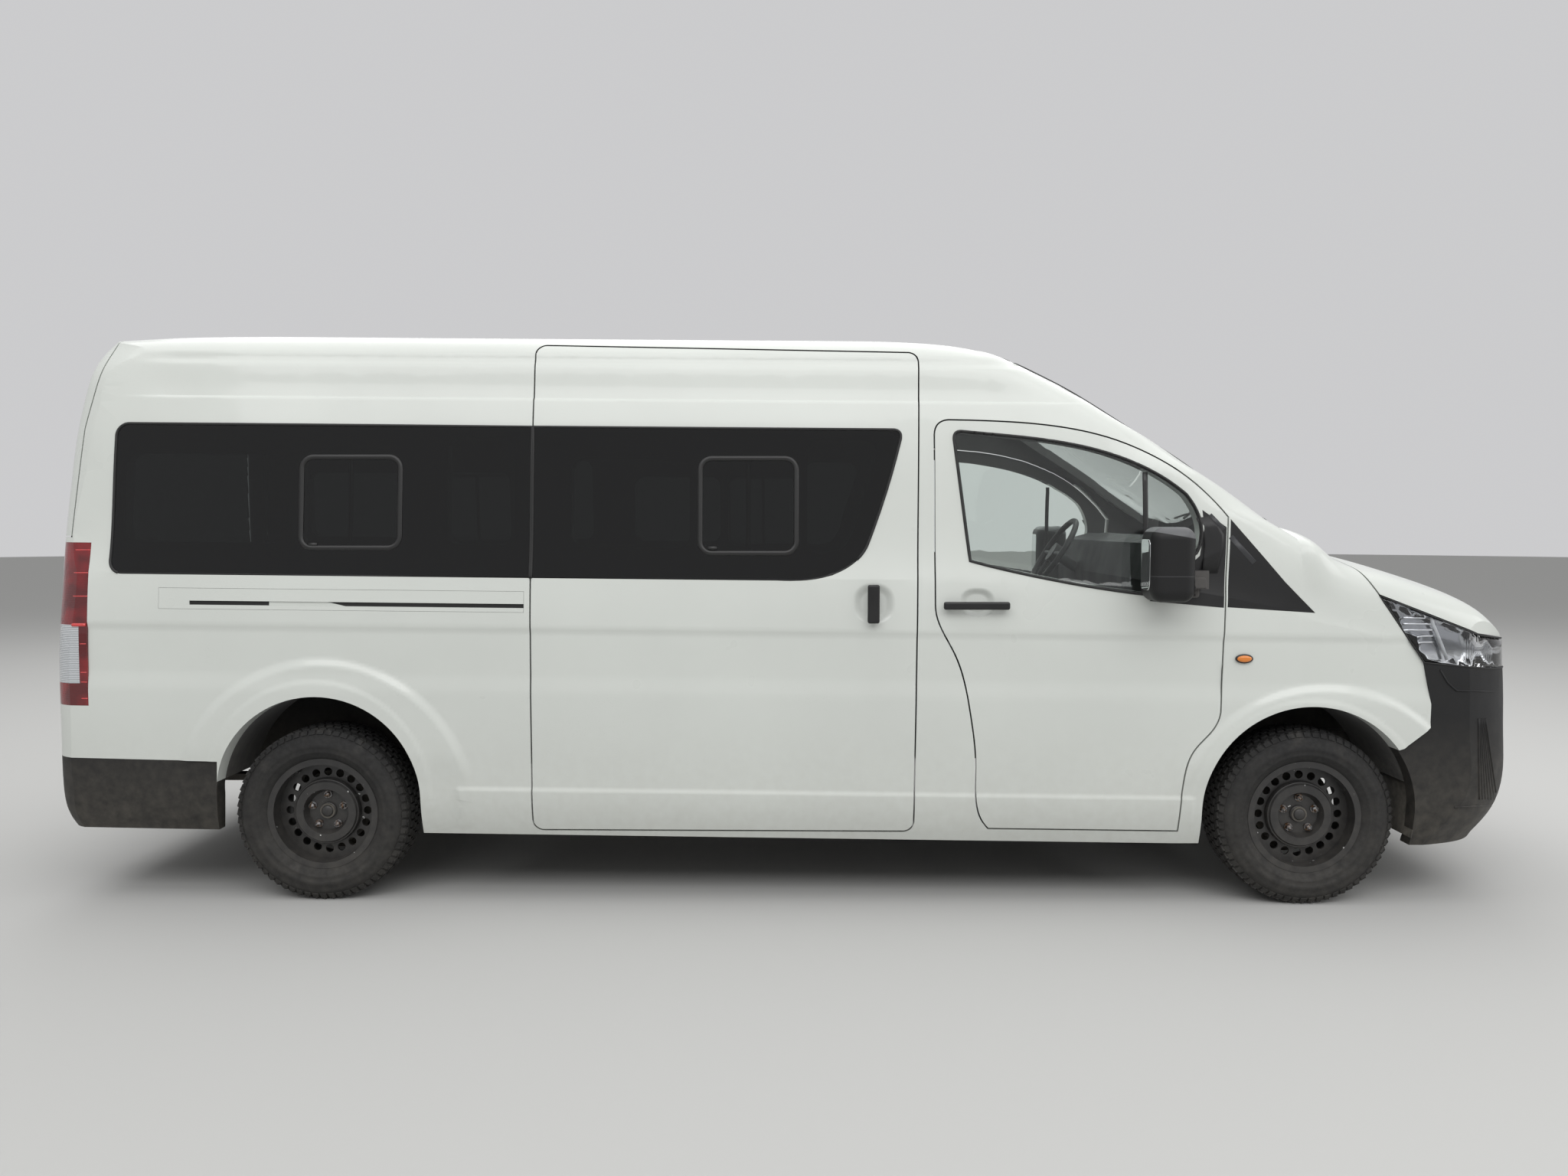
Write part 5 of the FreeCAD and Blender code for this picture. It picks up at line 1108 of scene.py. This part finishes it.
# The black corner of each front door goes on up to the white frame, between the glass and the
# corner plate.
CORNER_INNER = ((1.560, 1.513), (1.580, 1.470), (1.588, 1.420), (1.586, 1.360), (1.574, 1.300))
CORNER_OUTER = ((1.612, 1.520), (1.648, 1.480), (1.666, 1.450), (1.666, 1.400), (1.640, 1.300))
CORNER_LIFT, CORNER_THICK, CORNER_CELLS, CORNER_LIMIT = 0.0006, 0.0012, 6, 0.970
for side, hand in SIDES:
    tree = tree_of("front_door_" + hand, "door_fittings_" + hand, "front_door_glass_" + hand)
    bm = bmesh.new()
    rows = []
    for (x_in, z_in), (x_out, z_out) in zip(CORNER_INNER, CORNER_OUTER):
        line = [(x_in + (x_out - x_in) * k / CORNER_CELLS, z_in + (z_out - z_in) * k / CORNER_CELLS)
                for k in range(CORNER_CELLS + 1)]
        rows.append([bm.verts.new(skin_point(x, z, side, 0.0, tree)) for x, z in line])
    for v in bm.verts:
        v.co.y = side * (min(abs(v.co.y), CORNER_LIMIT) + CORNER_LIFT + CORNER_THICK)
    for a, b in zip(rows, rows[1:]):
        for k in range(CORNER_CELLS):
            bm.faces.new((a[k], a[k + 1], b[k + 1], b[k]))
    made = bmesh.ops.extrude_face_region(bm, geom=bm.faces[:])
    for v in [g for g in made["geom"] if isinstance(g, bmesh.types.BMVert)]:
        v.co.y -= side * CORNER_THICK
    bmesh.ops.recalc_face_normals(bm, faces=bm.faces)
    piece("door_corner_black_" + hand, bm, "front_door_" + hand, "trim_black", satin.material)

# Seats: foam cushions in dark grey woven cloth, crowned, with piping round their edges and sewn
# channels across. Two single seats stand in front on black boxes, and four benches of three
# places each behind them on steel frames.
CLOTH, CLOTH_LIGHT = (0.040, 0.041, 0.045), (0.085, 0.086, 0.092)
cloth = Shader("woven_cloth", CLOTH, 0.88, Sheen_Weight=0.35, Sheen_Roughness=0.5)
threads = {"Vector": cloth.place(), "Scale": 230.0, "Distortion": 0.6}
warp = cloth.add("ShaderNodeTexWave", threads, bands_direction="Y")
weft = cloth.add("ShaderNodeTexWave", threads, bands_direction="X")
weave = cloth.math("MULTIPLY", warp.outputs["Fac"], weft.outputs["Fac"])
fleck = cloth.span(cloth.noise(340.0, 2.0), 0.4, 0.65)
cloth.put("Base Color", cloth.blend(cloth.math("MULTIPLY", weave, fleck), CLOTH, CLOTH_LIGHT))
cloth.uneven(0.80, 0.95, 6.0)
cloth.bump(weave, 0.0006, 0.5)
piping = Shader("seat_piping", (0.020, 0.020, 0.022), 0.6)
piping.fine(0.0002, 1500.0)
frame_steel = Shader("seat_frame", (0.018, 0.018, 0.019), 0.42)
frame_steel.uneven(0.36, 0.55, 40.0)
frame_steel.fine(0.0002, 450.0)
PAD_CUTS, PIPING_STEPS, PIPING_SIZE = 15, 16, 0.0035
CROWN, PULL_IN, CORNER_IN = 0.30, 0.028, 0.055
GROOVE_DEEP, GROOVE_WIDE, GROOVE_END = 0.13, 0.035, 0.86


def padded_form(u, v, w, channels):
    """A point of a cushion, from its place on a cube of -1 to 1: crowned, its sides pulled in."""
    edge = max(abs(u), abs(v))
    thin = 1 - CROWN * edge ** 5
    groove = sum(GROOVE_DEEP * math.exp(-((v - c) / GROOVE_WIDE) ** 2) for c in channels)
    groove *= 1 - ramp(abs(u), GROOVE_END, 1.0)
    corner = 1 - CORNER_IN * (abs(u) * abs(v)) ** 8
    return Vector((u * corner * (1 - PULL_IN * (1 - v * v)), v * corner * (1 - PULL_IN * (1 - u * u)),
                   w * (thin - groove) if w > 0 else w * thin))


def pad(name, body, node, place, size, channels=()):
    """A cushion with its piping; size is its length, width and thickness, place turns and moves it."""
    bm = bmesh.new()
    bmesh.ops.create_cube(bm, size=2)
    bmesh.ops.subdivide_edges(bm, edges=bm.edges, cuts=PAD_CUTS, use_grid_fill=True)
    scale = Matrix.Diagonal((size[0] / 2, size[1] / 2, size[2] / 2, 1))
    for v in bm.verts:
        v.co = place @ scale @ padded_form(*v.co, channels)
    bmesh.ops.recalc_face_normals(bm, faces=bm.faces)
    made = piece(name, bm, body, "seat_cloth", cloth.material)
    smooth = made.modifiers.new("soft", "SUBSURF")
    smooth.levels = smooth.render_levels = 1
    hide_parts(node)
    ring = []
    for start in range(4):
        for step in range(PIPING_STEPS):
            t = -1 + 2 * step / PIPING_STEPS
            u, v = ((t, -1), (1, t), (-t, 1), (-1, -t))[start]
            ring.append(place @ scale @ padded_form(u, v, 0.55, ()))
    bead(name + "_piping", ring, PIPING_SIZE, True, body, "seat_cloth", piping.material)


def box_piece(name, low, high, body, slot, material, rounding=0.008, segments=3):
    """A moulded or folded box with rounded edges."""
    bm = bmesh.new()
    size = Vector(high) - Vector(low)
    bmesh.ops.create_cube(bm, size=1, matrix=Matrix.Translation((Vector(low) + Vector(high)) / 2)
                          @ Matrix.Diagonal((*size, 1)))
    bmesh.ops.bevel(bm, geom=bm.edges, offset=rounding, segments=segments, affect="EDGES", profile=0.5,
                    material=-1)
    piece(name, bm, body, slot, material)


SEAT_TOP, CUSHION_DEEP, BACK_DEEP, BACK_FOOT = 0.970, 0.130, 0.120, 0.01
LEAN, CHANNELS = 0.2, (-0.45, 0.45)
HEAD_SIZE, HEAD_UP, HEAD_FORWARD = (0.150, 0.250, 0.084), 0.100, 0.046
BAR_APART, BAR_DOWN, BAR_UP, BAR_RADIUS = 0.06, 0.03, 0.05, 0.005
UPRIGHT = Matrix.Rotation(math.pi / 2, 4, "Y")


def seat(name, node, x, y, width, depth, back_height):
    """One place: a cushion and a back that leans."""
    lean_back = math.atan2(LEAN * depth, back_height + CUSHION_DEEP)
    pad(name + "_cushion", "root", node, Matrix.Translation((x + 0.055, y, SEAT_TOP - CUSHION_DEEP / 2)),
        (depth - 0.115, width - 0.006, CUSHION_DEEP - 0.002), CHANNELS)
    middle = (SEAT_TOP + BACK_FOOT + SEAT_TOP + back_height) / 2
    shift = (middle - SEAT_TOP + CUSHION_DEEP) * math.tan(lean_back)
    back = Matrix.Translation((x - depth / 2 + BACK_DEEP / 2 - shift, y, middle))
    back = back @ Matrix.Rotation(-lean_back, 4, "Y") @ UPRIGHT
    tall = (back_height - 2 * BACK_FOOT) / math.cos(lean_back) - 0.01
    pad(name + "_back", "root", node, back, (tall, width - 0.006, BACK_DEEP - 0.012), CHANNELS)


def head_restraint(name, node, x, y):
    """A small cushion over a seat's back, on two steel bars."""
    place = Matrix.Translation((x, y, HEAD_FOOT + HEAD_UP)) @ UPRIGHT
    pad(name + "_head", "root", node, place, HEAD_SIZE)
    for reach in (-BAR_APART, BAR_APART):
        bar = [Vector((x, y + reach, HEAD_FOOT - BAR_DOWN)), Vector((x, y + reach, HEAD_FOOT + BAR_UP))]
        bead(name + "_bar_%d" % round(reach * 1000), bar, BAR_RADIUS, False, "root", "bare_steel",
             bright.material)


FLOOR_TOP, FRAME_TOP = 0.6415, 0.8380
FRONT_X, FRONT_Y, FRONT_SIZE, FRONT_BACK = 0.720, 0.430, 0.520, 0.560
HEAD_FOOT = SEAT_TOP + FRONT_BACK
BOX_HALF = FRONT_SIZE * 0.333 - 0.004
for side, hand in SIDES:
    y = side * FRONT_Y
    seat("front_seat_" + hand, "front_seats", FRONT_X, y, FRONT_SIZE, FRONT_SIZE, FRONT_BACK)
    head_restraint("front_seat_" + hand, "front_seats",
                   FRONT_X - FRONT_SIZE / 2 - LEAN * FRONT_SIZE + HEAD_FORWARD, y)
    box_piece("front_seat_box_" + hand, (FRONT_X - BOX_HALF, y - BOX_HALF, FLOOR_TOP),
              (FRONT_X + BOX_HALF, y + BOX_HALF, FRAME_TOP), "root", "seat_cloth", frame_steel.material, 0.012)

BENCH_FIRST, BENCH_APART, BENCH_DEPTH, BENCH_BACK = -0.220, 0.750, 0.430, 0.300
BENCH_WIDTHS = (1.480, 1.480, 1.172, 1.172)
LEG_HALF, LEG_WIDE = 0.135, 0.030
for row, width in enumerate(BENCH_WIDTHS):
    x = BENCH_FIRST - BENCH_APART * row
    for place in range(3):
        seat("bench_%d_%d" % (row, place), "benches", x, (place - 1) * width / 3, width / 3, BENCH_DEPTH,
             BENCH_BACK)
    for reach in (-width * 0.333, width * 0.333):
        inner = reach - math.copysign(LEG_WIDE, reach)
        box_piece("bench_leg_%d_%d" % (row, reach > 0), (x - LEG_HALF, min(reach, inner), FLOOR_TOP),
                  (x + LEG_HALF, max(reach, inner), FRAME_TOP), "root", "seat_cloth", frame_steel.material,
                  0.006)

# Cabin: the dash is grained dark grey plastic, the steering wheel's rim is black leather and
# the floor is a ribbed rubber mat with worn, dusty patches.
DASH_GREY = (0.030, 0.031, 0.033)
dash = Shader("dash_plastic", DASH_GREY, 0.62)
hide = dash.add("ShaderNodeTexVoronoi", {"Vector": dash.place(), "Scale": 380.0})
dash.uneven(0.55, 0.72, 9.0, 4.0)
dash.put("Base Color", dash.blend(dash.span(dash.noise(3.0), 0.3, 0.7), DASH_GREY, (0.038, 0.039, 0.041)))
dash.bump(hide.outputs["Distance"], 0.0004, 0.5)
leather = Shader("wheel_leather", (0.020, 0.020, 0.021), 0.50)
pores = leather.add("ShaderNodeTexVoronoi", {"Vector": leather.place(), "Scale": 700.0})
leather.uneven(0.42, 0.62, 14.0, 4.0)
leather.bump(pores.outputs["Distance"], 0.0003, 0.6)
mat = Shader("ribbed_mat", (0.022, 0.022, 0.023), 0.85)
rows = mat.add("ShaderNodeTexWave", {"Vector": mat.place(), "Scale": 26.0}, bands_direction="Y")
worn = mat.span(mat.noise(5.0, 4.0), 0.4, 0.8)
mat.put("Base Color", mat.blend(worn, (0.022, 0.022, 0.023), (0.052, 0.050, 0.046)))
mat.bump(rows.outputs["Fac"], 0.002, 0.6)

# Under the floor: chassis rails, engine, axles and springs in dull black with road dust, and a
# bare steel exhaust and tank that are stained and a little rusty.
iron = Shader("chassis_paint", (0.016, 0.016, 0.016), 0.62)
soil = iron.dusty(0.75)
iron.put("Base Color", iron.blend(soil, (0.016, 0.016, 0.016), DUST_COLOUR))
iron.uneven(0.52, 0.80, 11.0, 4.0)
iron.fine(0.0006, 160.0, 4.0, 0.7)
bare = Shader("stained_steel", (0.30, 0.29, 0.28), 0.40, Metallic=1.0)
rust = bare.span(bare.noise(9.0, 6.0, 0.65), 0.50, 0.68)
bare.put("Base Color", bare.blend(rust, (0.30, 0.29, 0.28), (0.13, 0.055, 0.025)))
bare.uneven(0.30, 0.65, 20.0, 4.0)
bare.fine(0.0004, 220.0, 4.0, 0.6)

FINISHES = {
    "front_bumper": grained, "rear_bumper": grained, "cowl_and_plates": grained, "grille": satin,
    "arch_liners": felt, "sliding_door_handle": satin, "dashboard": dash, "steering_wheel": leather,
    "floor_pan": mat, "chassis_rails": iron, "engine_block": iron, "front_suspension": iron,
    "rear_axle": iron, "leaf_springs": iron, "knuckle_left": iron, "knuckle_right": iron,
    "tank_and_exhaust": bare,
}
for node, shader in FINISHES.items():
    finish(node, shader)

# Tail: a black handle strip over a blank plate, and a narrow brake lamp above the window. The
# nose has a blank plate before the grille bars.
PLATE_SIZE, PLATE_THICK = (0.440, 0.140), 0.0015
PLATE_FRONT, PLATE_LOW = 2.9375, 0.520
TAIL_PIECES = (("rear_plate", (-2.90, 0, 0.900), PLATE_SIZE, PLATE_THICK, "trim_black", blank, 12),
               ("back_door_handle_strip", (-2.90, 0, 1.035), (0.520, 0.046), 0.004, "trim_black", satin, 12),
               ("high_brake_lamp", (-2.85, 0, 1.950), (0.300, 0.028), 0.005, "lamp_red", red, 6))
door_tree = tree_of("back_door")
for name, centre, sheet, thick, slot, shader, corner in TAIL_PIECES:
    laid(name, door_tree, centre, REARWARD, UPWARD, sheet, thick, "back_door", slot, shader.material, corner)
box_piece("front_plate", (PLATE_FRONT, -PLATE_SIZE[0] / 2, PLATE_LOW),
          (PLATE_FRONT + PLATE_THICK * 2, PLATE_SIZE[0] / 2, PLATE_LOW + PLATE_SIZE[1]), "root", "trim_black",
          blank.material, 0.0010, 2)

# Wipers: two in front, parked along the foot of the windshield, and one on the back window.
# Each has a sprung arm and a thin rubber blade just off the glass.
ARM, BLADE = (0.014, 0.0065), (0.006, 0.0050)
FRONT_WIPERS = (
    ("blade_right", BLADE, ((1.935, -0.62), (1.925, -0.46), (1.925, -0.30), (1.930, -0.14))),
    ("arm_right", ARM, ((1.958, -0.20), (1.925, -0.38))),
    ("blade_left", BLADE, ((1.935, 0.02), (1.925, 0.18), (1.925, 0.34), (1.925, 0.50))),
    ("arm_left", ARM, ((1.955, 0.45), (1.925, 0.26))),
)
shield_tree = tree_of("windshield")
for part, (lift, thick), line in FRONT_WIPERS:
    points = []
    for x, y in line:
        hit, normal, _, _ = shield_tree.ray_cast(Vector((x, y, 3)), Vector((0, 0, -1)))
        if hit:
            points.append(hit + (normal if normal.z > 0 else -normal) * lift)
    if len(points) > 1:
        bead("wiper_" + part, points, thick, False, "root", "trim_black", satin.material, 0.8)
REAR_WIPER = (("blade", BLADE, ((-0.62, 1.395), (-0.45, 1.405), (-0.28, 1.415), (-0.12, 1.425))),
              ("arm", ARM, ((-0.02, 1.352), (-0.18, 1.380), (-0.36, 1.410))))
pane_tree = tree_of("back_door_glass")
for part, (lift, thick), line in REAR_WIPER:
    hits = [pane_tree.ray_cast(Vector((-3.5, y, z)), Vector((1, 0, 0)))[0] for y, z in line]
    points = [hit - Vector((lift, 0, 0)) for hit in hits if hit]
    if len(points) > 1:
        bead("rear_wiper_" + part, points, thick, False, "back_door", "trim_black", satin.material)

# Inside mirror: a slim black case on a short stem from the top of the windshield.
STEM_X, STEM_SIZE = 1.130, 0.006
STEM_LINE = ((0.002, 0, -0.008), (-0.012, 0, -0.055), (-0.026, 0, -0.098))
CASE_LOW, CASE_HIGH = Vector((-0.045, -0.115, -0.140)), Vector((-0.018, 0.115, -0.076))
hit = shield_tree.ray_cast(Vector((STEM_X, 0, 3)), Vector((0, 0, -1)))[0]
box_piece("inside_mirror", hit + CASE_LOW, hit + CASE_HIGH, "root", "trim_black", satin.material, 0.010, 4)
bead("inside_mirror_stem", [hit + Vector(step) for step in STEM_LINE], STEM_SIZE, False, "root", "trim_black",
     satin.material)

size = {"cad": [list(v) for v in cad_box], "visual": [list(v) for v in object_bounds()]}
